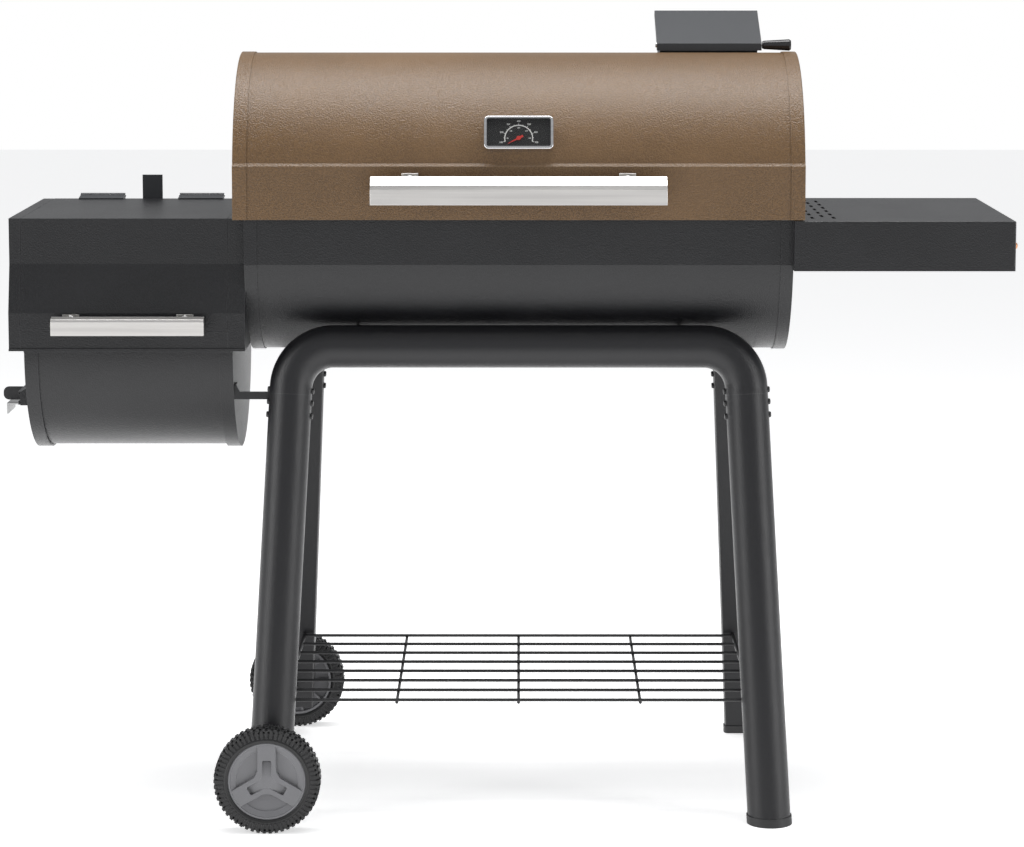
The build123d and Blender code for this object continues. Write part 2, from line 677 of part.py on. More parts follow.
with BuildPart() as firebox_handle_bolts:
    for bolt_x in firebox_bolt_x:
        add(handle_bolt(firebox_handle_x + bolt_x, firebox_waist_y, firebox_bolt_z))
firebox_handle_bolts.part.label = "firebox_handle_bolts"

# ---------------------------------------------------------------- hinges
# All four hinges are alike: outer knuckles on the fixed leaf, one between them on the lid's.
third = hinge_length / 3
firebox_hinge_middle = (panel_left + panel_right) / 2 + 1.0
firebox_hinges = (firebox_hinge_middle - firebox_hinge_pitch / 2,
                  firebox_hinge_middle + firebox_hinge_pitch / 2)
lid_hinges = (barrel_x - lid_hinge_x, barrel_x + lid_hinge_x)


def hinge_leaf(centre_x, pin, bore, outer, *strap):
    """One leaf: a strap and its knuckles, cut back where the other leaf's knuckles turn."""
    with BuildPart() as leaf:
        with BuildSketch(Plane.YZ.offset(centre_x - hinge_length / 2)):
            polygon(*strap)
            with Locations(pin):
                Circle(knuckle_radius)
                Circle(bore, mode=Mode.SUBTRACT)
        extrude(amount=hinge_length)
        middles = (centre_x,) if outer else (centre_x - third, centre_x + third)
        for middle in middles:
            width = third + 2 * side_gap if outer else third
            with BuildSketch(Plane.YZ.offset(middle - width / 2)):
                with Locations(pin):
                    Circle(knuckle_radius + 1.0)
            extrude(amount=width, mode=Mode.SUBTRACT)
    return leaf.part


lid_pin = (lid_pin_y, lid_pin_z)
firebox_pin = (firebox_pin_y, firebox_pin_z)
trough_back_y = trough_half_depth - cap_sheet
moving_bore = pin_radius + running_fit
strap_length = 54.0        # of the barrel's fixed leaves, below the lid's edge
strap_low_z = firebox_top_z - 39.0
with BuildPart() as fixed_hinge_leaves:
    for hinge_x in lid_hinges:
        add(hinge_leaf(hinge_x, lid_pin, pin_radius, True,
                       (trough_back_y, rim_z - strap_length), (trough_back_y + plate, rim_z - strap_length),
                       (trough_back_y + plate, rim_z - 24), (lid_pin_y + 1, lid_pin_z - 4.0),
                       (lid_pin_y - 3.3, lid_pin_z - 1.5), (trough_back_y, rim_z - 16)))
    for hinge_x in firebox_hinges:
        add(hinge_leaf(hinge_x, firebox_pin, pin_radius, True,
                       (firebox_back_y, strap_low_z), (firebox_back_y + sheet, strap_low_z),
                       (firebox_back_y + sheet, firebox_top_z - 12),
                       (firebox_pin_y + 2.5, firebox_pin_z - 3.3),
                       (firebox_pin_y - 1.5, firebox_pin_z - 3.9), (firebox_back_y, firebox_top_z - 9)))
fixed_hinge_leaves.part.label = "fixed_hinge_leaves"

with BuildPart() as hinge_pins:
    for middle_x, pin in [(x, lid_pin) for x in lid_hinges] + [(x, firebox_pin) for x in firebox_hinges]:
        with BuildSketch(Plane.YZ.offset(middle_x - hinge_length / 2 - 1)):
            with Locations(pin):
                Circle(pin_radius)
        extrude(amount=hinge_length + 2)
hinge_pins.part.label = "hinge_pins"

with BuildPart() as lid_hinge_leaves:
    for hinge_x in lid_hinges:
        add(hinge_leaf(hinge_x, lid_pin, moving_bore, False,
                       (lid_skin_y, rim_z), (lid_skin_y, rim_z + 34), (lid_skin_y + sheet, rim_z + 34),
                       (lid_skin_y + sheet, rim_z), (lid_pin_y + 3.6, lid_pin_z + 2.2),
                       (lid_pin_y - 2.6, lid_pin_z + 3.3)))
lid_hinge_leaves.part.label = "lid_hinge_leaves"

with BuildPart() as firebox_lid_hinge_leaves:
    for hinge_x in firebox_hinges:
        add(hinge_leaf(hinge_x, firebox_pin, moving_bore, False,
                       (lid_back_y - 16, firebox_top_z), (lid_back_y - 16, firebox_top_z + sheet),
                       (firebox_pin_y - 2, firebox_pin_z + 1.6), (firebox_pin_y - 3, firebox_top_z)))
firebox_lid_hinge_leaves.part.label = "firebox_lid_hinge_leaves"

# Upright tab between the firebox hinges, which the open lid leans against.
stop_width = 31.0
stop_top_z = firebox_top_z + 36.0
stop_low_z = firebox_top_z - 45.0
stop_bend_z = firebox_top_z - 17.0
stop_y = firebox_pin_y + 1.5
with BuildPart() as lid_stop:
    with BuildSketch(Plane.YZ.offset(firebox_hinge_middle - stop_width / 2)):
        polygon((firebox_back_y, stop_low_z), (firebox_back_y, stop_bend_z), (stop_y, stop_bend_z + 10),
                (stop_y, stop_top_z), (stop_y + plate, stop_top_z), (stop_y + plate, stop_bend_z + 8),
                (firebox_back_y + plate, stop_bend_z - 3), (firebox_back_y + plate, stop_low_z))
    extrude(amount=stop_width)
lid_stop.part.label = "lid_stop"

# ================================================================ FIRE DRUM
drum_skin = drum_radius - cap_sheet
drum_top_z = drum_z + sheet
with BuildPart() as fire_drum:
    with BuildSketch(Plane.YZ.offset(drum_left + cap_sheet)):
        half_disc(drum_skin, drum_top_z)
        half_disc(drum_skin - sheet, drum_top_z, mode=Mode.SUBTRACT)
        for side in (-1, 1):
            polygon((side * (drum_skin - sheet), drum_top_z), (side * (drum_radius + 14), drum_top_z),
                    (side * (drum_radius + 14), drum_z), (side * (drum_skin - sheet / 2), drum_z))
    extrude(amount=drum_right - drum_left - 2 * cap_sheet)
fire_drum.part.label = "fire_drum"

drawer_half_width = 66.0
drawer_low_z = 534.0
drawer_high_z = 576.0
draught_z = 594.0          # middle of the drum's draught holes, inside the hood


def drum_cap(outer_x, inward):
    """Pressed half-round end of the drum, with a lip that wraps the shell."""
    with BuildPart() as cap:
        with BuildSketch(Plane.YZ.offset(outer_x)):
            half_disc(drum_radius, drum_z)
        extrude(amount=inward * drum_lip)
        with BuildSketch(Plane.YZ.offset(outer_x + inward * cap_sheet)):
            half_disc(drum_skin, drum_z + cap_sheet)
        extrude(amount=inward * drum_lip, mode=Mode.SUBTRACT)
        with BuildSketch(Plane.YZ.offset(outer_x)):
            polygon((-drum_skin + sheet, drum_z), (-drum_skin + sheet, drum_top_z),
                    (drum_skin - sheet, drum_top_z), (drum_skin - sheet, drum_z))
        extrude(amount=inward * cap_sheet)
    return cap.part


with BuildPart() as drum_end_right:
    add(drum_cap(drum_right, -1))
drum_end_right.part.label = "drum_end_right"

air_hole_pitch = 26.0
air_hole_radius = 8.0
drawer_gap = 1.5
with BuildPart() as drum_end_left:
    add(drum_cap(drum_left, 1))
    with BuildSketch(Plane.YZ.offset(drum_left)):
        with Locations((0, (drawer_low_z + drawer_high_z) / 2)):
            Rectangle(2 * (drawer_half_width + drawer_gap), drawer_high_z - drawer_low_z + 2 * drawer_gap)
        with Locations((0, draught_z)):
            with GridLocations(air_hole_pitch, 1, 4, 1):
                Circle(air_hole_radius)
    extrude(amount=cap_sheet, mode=Mode.SUBTRACT)
drum_end_left.part.label = "drum_end_left"

# Shallow hood on the drum's left end, with air holes in its face and two guides that hold a
# slide's top and bottom edges.
hood_reach = drum_left - firebox_left
hood_half = 78.0
hood_top_z = 612.0
hood_face_z = 600.0
hood_low_z = 580.0
hole_z = 590.0
hole_pitch = 39.0
hole_radius = 5.5
slide_travel = 19.0        # half the pitch, so the holes close
slide_half = 52.0
slide_height = 15.0
slide_sheet = 1.5
slide_run = slide_half + slide_travel
guide_sheet = 2.0
guide_lap = 3.0
guide_slot = slide_sheet + side_gap
with BuildPart() as draught_hood:
    with BuildSketch(Plane.YZ.offset(drum_left)):
        polygon((-hood_half, hood_low_z), (-hood_half, hood_top_z), (hood_half, hood_top_z),
                (hood_half, hood_low_z))
    extrude(amount=-hood_reach)
    with BuildSketch(Plane.XZ.offset(-hood_half)):
        polygon((drum_left, hood_top_z), (firebox_left, hood_face_z), (firebox_left, hood_top_z + 5),
                (drum_left, hood_top_z + 5))
    extrude(amount=2 * hood_half, mode=Mode.SUBTRACT)
    with BuildSketch(Plane.XZ.offset(-hood_half + sheet)):
        polygon((drum_left, hood_top_z - sheet), (firebox_left + sheet, hood_face_z - sheet),
                (firebox_left + sheet, hood_low_z + sheet), (drum_left, hood_low_z + sheet))
    extrude(amount=2 * hood_half - 2 * sheet, mode=Mode.SUBTRACT)
    with BuildSketch(Plane.YZ.offset(firebox_left)):
        with Locations((0, hole_z)):
            with GridLocations(hole_pitch, 1, 3, 1):
                Circle(hole_radius)
    extrude(amount=sheet, mode=Mode.SUBTRACT)
    for side in (-1, 1):
        edge_z = hole_z + side * (slide_height / 2 + side_gap)
        guide_x = firebox_left - guide_slot - guide_sheet
        with BuildSketch(Plane.XZ.offset(-slide_run)):
            polygon((firebox_left, edge_z), (firebox_left, edge_z + side * guide_sheet),
                    (guide_x, edge_z + side * guide_sheet), (guide_x, edge_z - side * guide_lap),
                    (firebox_left - guide_slot, edge_z - side * guide_lap),
                    (firebox_left - guide_slot, edge_z))
        extrude(amount=2 * slide_run)
draught_hood.part.label = "draught_hood"

# Air slide: a thin plate that runs along Y over the hood's holes, with a finger tab between
# two of its own holes.
tab_y = -hole_pitch / 2
tab_height = 20.0
tab_neck = guide_slot + guide_sheet + side_gap
neck_height = slide_height - 2 * guide_lap - 2 * side_gap
with BuildPart() as air_slide:
    with BuildSketch(Plane.YZ.offset(firebox_left)):
        with Locations((0, hole_z)):
            Rectangle(2 * slide_half, slide_height)
            with GridLocations(hole_pitch, 1, 3, 1):
                Circle(hole_radius, mode=Mode.SUBTRACT)
    extrude(amount=-slide_sheet)
    with BuildSketch(Plane.XZ.offset(-tab_y - slide_sheet / 2)) as finger_tab:
        with Locations((firebox_left - tab_reach, hole_z)):
            Rectangle(tab_reach - tab_neck, tab_height, align=(Align.MIN, Align.CENTER))
        fillet(finger_tab.vertices().sort_by(Axis.X)[:2], tab_height * 0.42)
        with Locations((firebox_left, hole_z)):
            Rectangle(tab_neck + 1, neck_height, align=(Align.MAX, Align.CENTER))
    extrude(amount=-slide_sheet)
air_slide.part.label = "air_slide"

# ---------------------------------------------------------------- ash drawer and fire grate
drum_clearance = 16.5      # from each end of the drum to the grate and the drawer's back
drawer_length = drum_right - drum_left - 2 * drum_clearance
pull_reach = 27.0
pull_half = 34.0
pull_high_z = 577.0
pull_low_z = 561.0
pull_x = drum_left - sheet
pull_tip_x = firebox_left - pull_reach
with BuildPart() as ash_drawer:
    with BuildSketch(Plane.XY.offset(drawer_low_z)):
        with Locations((drum_left, 0)):
            Rectangle(drawer_length, 2 * drawer_half_width, align=(Align.MIN, Align.CENTER))
    extrude(amount=drawer_high_z - drawer_low_z - 6.0)
    offset(amount=-cap_sheet, openings=ash_drawer.faces().sort_by(Axis.Z)[-1])
    with BuildSketch(Plane.YZ.offset(drum_left)):
        with Locations((0, (drawer_low_z + drawer_high_z) / 2)):
            Rectangle(2 * drawer_half_width + 14, drawer_high_z - drawer_low_z + 6)
    extrude(amount=-sheet)
    with BuildSketch(Plane.XZ.offset(-pull_half)):
        polygon((pull_x, pull_high_z), (pull_tip_x, pull_high_z), (pull_tip_x, pull_low_z),
                (pull_tip_x + sheet, pull_low_z), (pull_tip_x + sheet, pull_high_z - sheet),
                (pull_x, pull_high_z - sheet))
    extrude(amount=2 * pull_half)
ash_drawer.part.label = "ash_drawer"

# Inside the drum two runners carry the drawer, and two angles on its ends carry the fire grate.
runner_y = drawer_half_width + drawer_gap
runner_low_z = drum_z - drum_radius
fire_grate_z = 598.0
fire_grate_length = drawer_length
fire_grate_half = sqrt((drum_skin - sheet) ** 2 - (drum_top_z - fire_grate_z) ** 2) - grate_gap
grate_x = (drum_left + drum_right) / 2
ledge_half = 100.0
with BuildPart() as drum_supports:
    for side in (-1, 1):
        with BuildSketch(Plane.YZ.offset(grate_x - fire_grate_length / 2)):
            polygon((side * runner_y, runner_low_z), (side * runner_y, drawer_high_z - 12),
                    (side * (runner_y + sheet), drawer_high_z - 12),
                    (side * (runner_y + sheet), runner_low_z))
            polygon((side * (runner_y - 8), drawer_low_z - sheet), (side * (runner_y - 8), drawer_low_z),
                    (side * (runner_y + 1), drawer_low_z), (side * (runner_y + 1), drawer_low_z - sheet))
        extrude(amount=fire_grate_length)
    with BuildSketch(Plane.YZ.offset(drum_left)):
        Rectangle(6 * drum_radius, 12 * drum_radius)
        with Locations((0, drum_top_z)):
            Circle(drum_skin - sheet, mode=Mode.SUBTRACT)
    extrude(amount=drum_right - drum_left, mode=Mode.SUBTRACT)
    for ledge_x, inward in ((drum_left + cap_sheet, 1), (drum_right - cap_sheet, -1)):
        with BuildSketch(Plane.XZ.offset(-ledge_half)):
            polygon((ledge_x, fire_grate_z), (ledge_x + inward * 22, fire_grate_z),
                    (ledge_x + inward * 22, fire_grate_z - sheet),
                    (ledge_x + inward * sheet, fire_grate_z - sheet),
                    (ledge_x + inward * sheet, fire_grate_z - 14), (ledge_x, fire_grate_z - 14))
        extrude(amount=2 * ledge_half)
drum_supports.part.label = "drum_supports"

with BuildPart() as fire_grate:
    with BuildSketch(Plane.XY.offset(fire_grate_z)):
        with Locations((grate_x, 0)):
            Rectangle(fire_grate_length, 2 * fire_grate_half)
            Rectangle(fire_grate_length - 2 * grate_frame, 2 * (fire_grate_half - grate_frame),
                      mode=Mode.SUBTRACT)
            with GridLocations(1, 22.0, 1, 11):
                Rectangle(fire_grate_length - grate_frame, grate_bar)
            Rectangle(grate_bar, 2 * fire_grate_half - grate_frame)
    extrude(amount=grate_bar)
fire_grate.part.label = "fire_grate"

# ================================================================ SIDE TABLE
vent_pitch = 56.0
vent_width = 5.0
vent_length = 30.0
vent_columns = (15.0, 30.0, 46.0, 61.0)
vent_rows = 6
vent_middle_y = 17.0
table_middle_y = (table_front_y + table_back_y) / 2
table_bolt = (table_right, table_front_y + 24, 827.0)
table_studs = [(table_right, y, table_top_z - 2 * screw_head) for y in (-126.0, -92.0, -58.0)]
table_screw_seats = [table_bolt] + table_studs
with BuildPart() as side_table:
    with BuildSketch(Plane.XY.offset(table_top_z)):
        with Locations((barrel_right, table_middle_y)):
            Rectangle(table_length, table_back_y - table_front_y, align=(Align.MIN, Align.CENTER))
    extrude(amount=-table_apron)
    fillet(side_table.edges().filter_by(Axis.Z).group_by(Axis.X)[-1], 2.5)
    fillet(side_table.faces().sort_by(Axis.Z)[-1].edges().group_by(Axis.X)[1:], 1.8)
    offset(amount=-sheet, openings=side_table.faces().sort_by(Axis.Z)[0])
    for column, column_x in enumerate(vent_columns):
        row_shift = vent_pitch / 4 * (-1) ** column
        with BuildSketch(Plane.XY.offset(table_top_z)):
            with Locations((barrel_right + column_x, vent_middle_y + row_shift)):
                with GridLocations(1, vent_pitch, 1, vent_rows):
                    RectangleRounded(vent_width, vent_length, vent_width * 0.45)
        extrude(amount=-sheet, mode=Mode.SUBTRACT)
    for seat in table_screw_seats:
        with BuildSketch(Plane(origin=seat, x_dir=(0, 1, 0), z_dir=(1, 0, 0))):
            Circle(drill)
        extrude(amount=-sheet, mode=Mode.SUBTRACT)
side_table.part.label = "side_table"


with BuildPart() as table_screws:
    for seat in table_screw_seats:
        add(dome_screw(Plane(origin=seat, x_dir=(0, 1, 0), z_dir=(1, 0, 0)), sheet + 4))
table_screws.part.label = "table_screws"

# ================================================================ FRAMES
seam_x = rail_half_length + seam_drop * sin(leg_slant)
seam_y = -seam_drop * cos(leg_slant)
screw_runs = (6.5, -11.0, -30.0)       # along the leg from its seam, up positive
hole_depth = tube_wall + 3.0
tube_corner = 3.0
leg_stub = 10.0                        # straight end of the rail above the seam


def leg_point(leg, run):
    """Point on a front leg's axis, run above its seam, as X and Y in the frame's plane."""
    return (leg * (seam_x - run * sin(leg_slant)), seam_y + run * cos(leg_slant))


def seam_plane(leg):
    """Section plane of a front leg at its seam, facing down the leg, flat side of the tube inward."""
    origin = front_frame.from_local_coords(leg_point(leg, 0))
    down = front_frame.from_local_coords(leg_point(leg, -1)) - origin
    return Plane(origin=origin, x_dir=front_frame.z_dir.cross(down), z_dir=down)


def screw_seats(leg):
    """Seat planes of the six screws at one seam: three heights on each side of the tube."""
    section = seam_plane(leg)
    seats = []
    for run in screw_runs:
        middle = front_frame.from_local_coords(leg_point(leg, run))
        for outward in (section.x_dir, -section.x_dir):
            seats.append(Plane(origin=middle + outward * tube_radius, x_dir=section.z_dir, z_dir=outward))
    return seats


def drilled(seats):
    """Drill the seam screws' holes in the tube that is being built."""
    for seat in seats:
        with BuildSketch(seat) as hole:
            Circle(drill)
        extrude(hole.sketch, amount=-hole_depth, mode=Mode.SUBTRACT)


def tube_ring(plane):
    """Section of the tube with its wall, on a plane across it."""
    with BuildSketch(plane) as ring:
        tube_section(0)
        fillet(ring.vertices(), tube_corner)
        tube_section(tube_wall, mode=Mode.SUBTRACT)
    return ring.sketch


def leg_core(leg):
    """The space that a front leg and the rail's straight end above it fill, down past the ground."""
    with BuildPart() as core:
        with BuildSketch(seam_plane(leg)) as outline:
            tube_section(0)
            fillet(outline.vertices(), tube_corner)
        extrude(outline.sketch, amount=leg_run)
        extrude(outline.sketch, amount=-leg_stub)
    return core.part


def front_leg(leg, bottom_z):
    """One front leg, from its seam down to a level cut."""
    with BuildPart() as tube:
        extrude(tube_ring(seam_plane(leg)), amount=leg_run)
        split(bisect_by=Plane.XY.offset(bottom_z), keep=Keep.TOP)
        drilled(screw_seats(leg))
    return tube.part


foot_floor = 4.0
with BuildPart() as front_right_leg:
    add(front_leg(1, foot_floor))
front_right_leg.part.label = "front_right_leg"

with BuildPart() as rear_right_leg:
    mirror(front_right_leg.part, about=Plane.XZ)
rear_right_leg.part.label = "rear_right_leg"

# The legs on the wheel side are drilled for the axle.
with BuildPart() as front_left_leg:
    add(front_leg(-1, wheel_leg_z))
    with BuildSketch(Plane.XZ.offset(leg_depth(axle_z) - 2 * tube_radius)):
        with Locations((axle_x, axle_z)):
            Circle(axle_radius)
    extrude(amount=4 * tube_radius, mode=Mode.SUBTRACT)
front_left_leg.part.label = "front_left_leg"

with BuildPart() as rear_left_leg:
    mirror(front_left_leg.part, about=Plane.XZ)
rear_left_leg.part.label = "rear_left_leg"

with BuildPart() as front_rail:
    with BuildLine(front_frame) as rail_path:
        FilletPolyline(leg_point(-1, 0), (-rail_half_length, 0), (rail_half_length, 0), leg_point(1, 0),
                       radius=tube_bend)
    rail_start = rail_path.line @ 0
    rail_way = rail_path.line % 0
    rail_ring = tube_ring(Plane(origin=rail_start, x_dir=front_frame.z_dir.cross(rail_way), z_dir=rail_way))
    sweep(rail_ring, path=rail_path.line)
    drilled(screw_seats(-1) + screw_seats(1))
front_rail.part.label = "front_rail"

with BuildPart() as rear_rail:
    mirror(front_rail.part, about=Plane.XZ)
rear_rail.part.label = "rear_rail"

with BuildPart() as seam_screws:
    for seat in screw_seats(-1) + screw_seats(1):
        add(dome_screw(seat, hole_depth))
    mirror(about=Plane.XZ)
seam_screws.part.label = "seam_screws"

# Shoes on the two legs that stand on the ground.
foot_height = 12.0
foot_wall = 1.6
with BuildPart() as foot_shoes:
    with BuildSketch(seam_plane(1)) as shoe_ring:
        tube_section(-foot_wall)
        fillet(shoe_ring.vertices(), tube_corner + foot_wall)
    extrude(amount=leg_run)
    split(bisect_by=Plane.XY.offset(foot_height), keep=Keep.BOTTOM)
    split(bisect_by=Plane.XY, keep=Keep.TOP)
    add(split(leg_core(1), bisect_by=Plane.XY.offset(foot_floor), keep=Keep.TOP, mode=Mode.PRIVATE),
        mode=Mode.SUBTRACT)
    mirror(about=Plane.XZ)
foot_shoes.part.label = "foot_shoes"

# Gussets tie the rails to the barrel: one edge lies on the tube's flat, one on the trough.
saddle_x = 235.0
saddle_plate = 5.0
saddle_inner_y = -86.0


def flat_point(up):
    """Point on the front rail's flat side, up from its middle, as Y and Z."""
    return (-rail_y + tube_flat * cos(lean) + up * sin(lean),
            rail_z - tube_flat * sin(lean) + up * cos(lean))


with BuildPart() as barrel_saddles:
    for saddle in (-saddle_x, saddle_x):
        with BuildSketch(Plane.YZ.offset(barrel_x + saddle - saddle_plate / 2)):
            polygon(flat_point(20), flat_point(-18), (saddle_inner_y, rail_z - 1),
                    (saddle_inner_y, rail_z + 30), (-rail_y + 25, rail_z + 46))
            with Locations((0, trough_axis_z)):
                Circle(trough_radius - cap_sheet, mode=Mode.SUBTRACT)
        extrude(amount=saddle_plate)
    mirror(about=Plane.XZ)
barrel_saddles.part.label = "barrel_saddles"

# Braces run from the drum's right end to the legs beside it, and bolt to a folded foot.
brace_z = 605.0
brace_height = 11.0
brace_sheet = 4.0
brace_y = 148.0
brace_foot = 26.0
brace_drop = 16.0
brace_length = barrel_x - leg_offset(brace_z) - drum_right
with BuildPart() as firebox_brace:
    with BuildSketch(Plane.XZ.offset(brace_y - brace_sheet)):
        with Locations((drum_right, brace_z)):
            Rectangle(brace_length, brace_height, align=(Align.MIN, Align.CENTER))
        polygon((drum_right, brace_z + brace_drop), (drum_right + 3, brace_z + brace_drop),
                (drum_right + 14, brace_z - brace_height / 2), (drum_right, brace_z - brace_height / 2))
    extrude(amount=brace_sheet)
    with BuildSketch(Plane.YZ.offset(drum_right)):
        with Locations((2 - brace_y, brace_z + brace_drop)):
            Rectangle(brace_foot, brace_drop + brace_height / 2, align=(Align.MIN, Align.MAX))
    extrude(amount=plate)
    add(leg_core(-1), mode=Mode.SUBTRACT)
firebox_brace.part.label = "firebox_brace"

# ================================================================ WHEELS AND AXLE
hub_half = 17.0
hub_disc = 12.0
hub_boss = 18.0
hub_pocket = 14.0          # recess in the outer face of the boss, for the nut
pocket_floor = 3.0         # from the wheel's middle plane, outward
cap_seat = 14.0
hub_lip = 4.0
spoke_width = 15.0
spoke_length = 52.0
tyre_shoulder = 5.0
nut_radius = 9.0
nut_height = 8.0
washer_sheet = 2.0
wheel_plane = Plane(origin=(axle_x, -wheel_y, axle_z), x_dir=(1, 0, 0), z_dir=(0, -1, 0))


def wheel_ring(inner, outer, half_width, mode=Mode.ADD):
    """Ring round the front wheel's axis."""
    with BuildSketch(wheel_plane.offset(-half_width)) as ring:
        Circle(outer)
        Circle(inner, mode=Mode.SUBTRACT)
    extrude(ring.sketch, amount=2 * half_width, mode=mode)


with BuildPart() as front_tyre:
    wheel_ring(hub_radius, wheel_radius, wheel_width / 2)
    fillet(front_tyre.edges().filter_by(GeomType.CIRCLE).group_by(SortBy.RADIUS)[-1], tyre_shoulder)
front_tyre.part.label = "front_tyre"

with BuildPart() as rear_tyre:
    mirror(front_tyre.part, about=Plane.XZ)
rear_tyre.part.label = "rear_tyre"

# The hub is a dished disc with a rim, a boss and three raised spokes, one of them upright. A cap
# closes the pocket that its nut sits in.
with BuildPart() as front_hub:
    wheel_ring(hub_radius - hub_lip, hub_radius, hub_half - 2)
    wheel_ring(axle_radius + running_fit, hub_radius - hub_lip, hub_disc / 2)
    wheel_ring(axle_radius + running_fit, hub_boss, hub_half)
    with BuildSketch(wheel_plane.offset(pocket_floor)):
        Circle(hub_pocket)
    extrude(amount=hub_half, mode=Mode.SUBTRACT)
    with BuildSketch(wheel_plane.offset(hub_disc / 2)):
        with PolarLocations(0, 3, start_angle=90):
            with Locations((hub_boss - 1, 0)):
                Rectangle(spoke_length - hub_boss, spoke_width, align=(Align.MIN, Align.CENTER))
    extrude(amount=hub_half - hub_disc / 2 - 3)
front_hub.part.label = "front_hub"

with BuildPart() as rear_hub:
    mirror(front_hub.part, about=Plane.XZ)
rear_hub.part.label = "rear_hub"

with BuildPart() as front_hub_cap:
    with BuildSketch(wheel_plane.offset(cap_seat)):
        Circle(hub_pocket)
    extrude(amount=hub_half - cap_seat)
front_hub_cap.part.label = "front_hub_cap"

with BuildPart() as rear_hub_cap:
    mirror(front_hub_cap.part, about=Plane.XZ)
rear_hub_cap.part.label = "rear_hub_cap"

washer_y = wheel_y + pocket_floor + side_gap
axle_half = washer_y + washer_sheet + nut_height
with BuildPart() as axle:
    with BuildSketch(Plane.XZ.offset(-axle_half)):
        with Locations((axle_x, axle_z)):
            Circle(axle_radius)
    extrude(amount=2 * axle_half)
axle.part.label = "axle"

# Sleeves keep each wheel off its leg, and a washer and a nut in the hub's pocket hold it on.
with BuildPart() as axle_hardware:
    with BuildSketch(Plane.XZ.offset(leg_depth(axle_z))):
        with Locations((axle_x, axle_z)):
            Circle(axle_radius + 3)
            Circle(axle_radius, mode=Mode.SUBTRACT)
    extrude(amount=wheel_y - hub_half - side_gap - leg_depth(axle_z))
    add(leg_core(-1), mode=Mode.SUBTRACT)
    with BuildSketch(Plane.XZ.offset(washer_y)):
        with Locations((axle_x, axle_z)):
            Circle(nut_radius + 3)
            Circle(axle_radius, mode=Mode.SUBTRACT)
    extrude(amount=washer_sheet)
    with BuildSketch(Plane.XZ.offset(washer_y + washer_sheet)):
        with Locations((axle_x, axle_z)):
            RegularPolygon(nut_radius, 6)
            Circle(axle_radius, mode=Mode.SUBTRACT)
    extrude(amount=nut_height - 1.5)
    mirror(about=Plane.XZ)
axle_hardware.part.label = "axle_hardware"


# ================================================================ WIRE SHELF
shelf_pitch = 2 * shelf_half_depth / (shelf_wires - 1)
side_rod_radius = 3.0
side_rod_reach = leg_depth(shelf_z)
front_flat = front_frame.offset(-tube_flat)
rear_flat = rear_frame.offset(-tube_flat)
with BuildPart() as wire_shelf:
    with BuildSketch(Plane.YZ.offset(barrel_x - shelf_half_length)):
        with Locations((0, shelf_z)):
            with GridLocations(shelf_pitch, 1, shelf_wires, 1):
                Circle(shelf_wire_radius)
    extrude(amount=2 * shelf_half_length)
    with BuildSketch(Plane.XZ.offset(-shelf_half_depth)):
        with Locations((barrel_x, shelf_z - 1.6 * shelf_wire_radius)):
            with GridLocations(shelf_cross_pitch, 1, 3, 1):
                Circle(shelf_wire_radius)
    extrude(amount=2 * shelf_half_depth)
    with BuildSketch(Plane.XZ.offset(-side_rod_reach)):
        with Locations((barrel_x - shelf_half_length, shelf_z), (barrel_x + shelf_half_length, shelf_z)):
            Circle(side_rod_radius)
    extrude(amount=2 * side_rod_reach)
    split(bisect_by=front_flat, keep=Keep.BOTTOM)
    split(bisect_by=rear_flat, keep=Keep.BOTTOM)
wire_shelf.part.label = "wire_shelf"

# ================================================================ FILES
export_step(barrel_trough.part, "parts/barrel_trough.step")
export_step(barrel_end_left.part, "parts/barrel_end_left.step")
export_step(barrel_end_right.part, "parts/barrel_end_right.step")
export_step(grate_rails.part, "parts/grate_rails.step")
export_step(cooking_grate_left.part, "parts/cooking_grate_left.step")
export_step(cooking_grate_right.part, "parts/cooking_grate_right.step")
export_step(lid_shell.part, "parts/lid_shell.step")
export_step(lid_end_left.part, "parts/lid_end_left.step")
export_step(lid_end_right.part, "parts/lid_end_right.step")
export_step(lid_handle.part, "parts/lid_handle.step")
export_step(lid_handle_bolts.part, "parts/lid_handle_bolts.step")
export_step(gauge_case.part, "parts/gauge_case.step")
export_step(gauge_dial.part, "parts/gauge_dial.step")
export_step(gauge_glass.part, "parts/gauge_glass.step")
export_step(gauge_needle.part, "parts/gauge_needle.step")
export_step(exhaust_collar.part, "parts/exhaust_collar.step")
export_step(exhaust_flap.part, "parts/exhaust_flap.step")
export_step(flap_spindle.part, "parts/flap_spindle.step")
export_step(flap_grip.part, "parts/flap_grip.step")
export_step(firebox_end_left.part, "parts/firebox_end_left.step")
export_step(firebox_end_right.part, "parts/firebox_end_right.step")
export_step(firebox_back.part, "parts/firebox_back.step")
export_step(firebox_base.part, "parts/firebox_base.step")
export_step(firebox_lid.part, "parts/firebox_lid.step")
export_step(firebox_handle.part, "parts/firebox_handle.step")
export_step(firebox_handle_bolts.part, "parts/firebox_handle_bolts.step")
export_step(fixed_hinge_leaves.part, "parts/fixed_hinge_leaves.step")
export_step(hinge_pins.part, "parts/hinge_pins.step")
export_step(lid_hinge_leaves.part, "parts/lid_hinge_leaves.step")
export_step(firebox_lid_hinge_leaves.part, "parts/firebox_lid_hinge_leaves.step")
export_step(lid_stop.part, "parts/lid_stop.step")
export_step(fire_drum.part, "parts/fire_drum.step")
export_step(drum_end_right.part, "parts/drum_end_right.step")
export_step(drum_end_left.part, "parts/drum_end_left.step")
export_step(draught_hood.part, "parts/draught_hood.step")
export_step(air_slide.part, "parts/air_slide.step")
export_step(ash_drawer.part, "parts/ash_drawer.step")
export_step(drum_supports.part, "parts/drum_supports.step")
export_step(fire_grate.part, "parts/fire_grate.step")
export_step(side_table.part, "parts/side_table.step")
export_step(table_screws.part, "parts/table_screws.step")
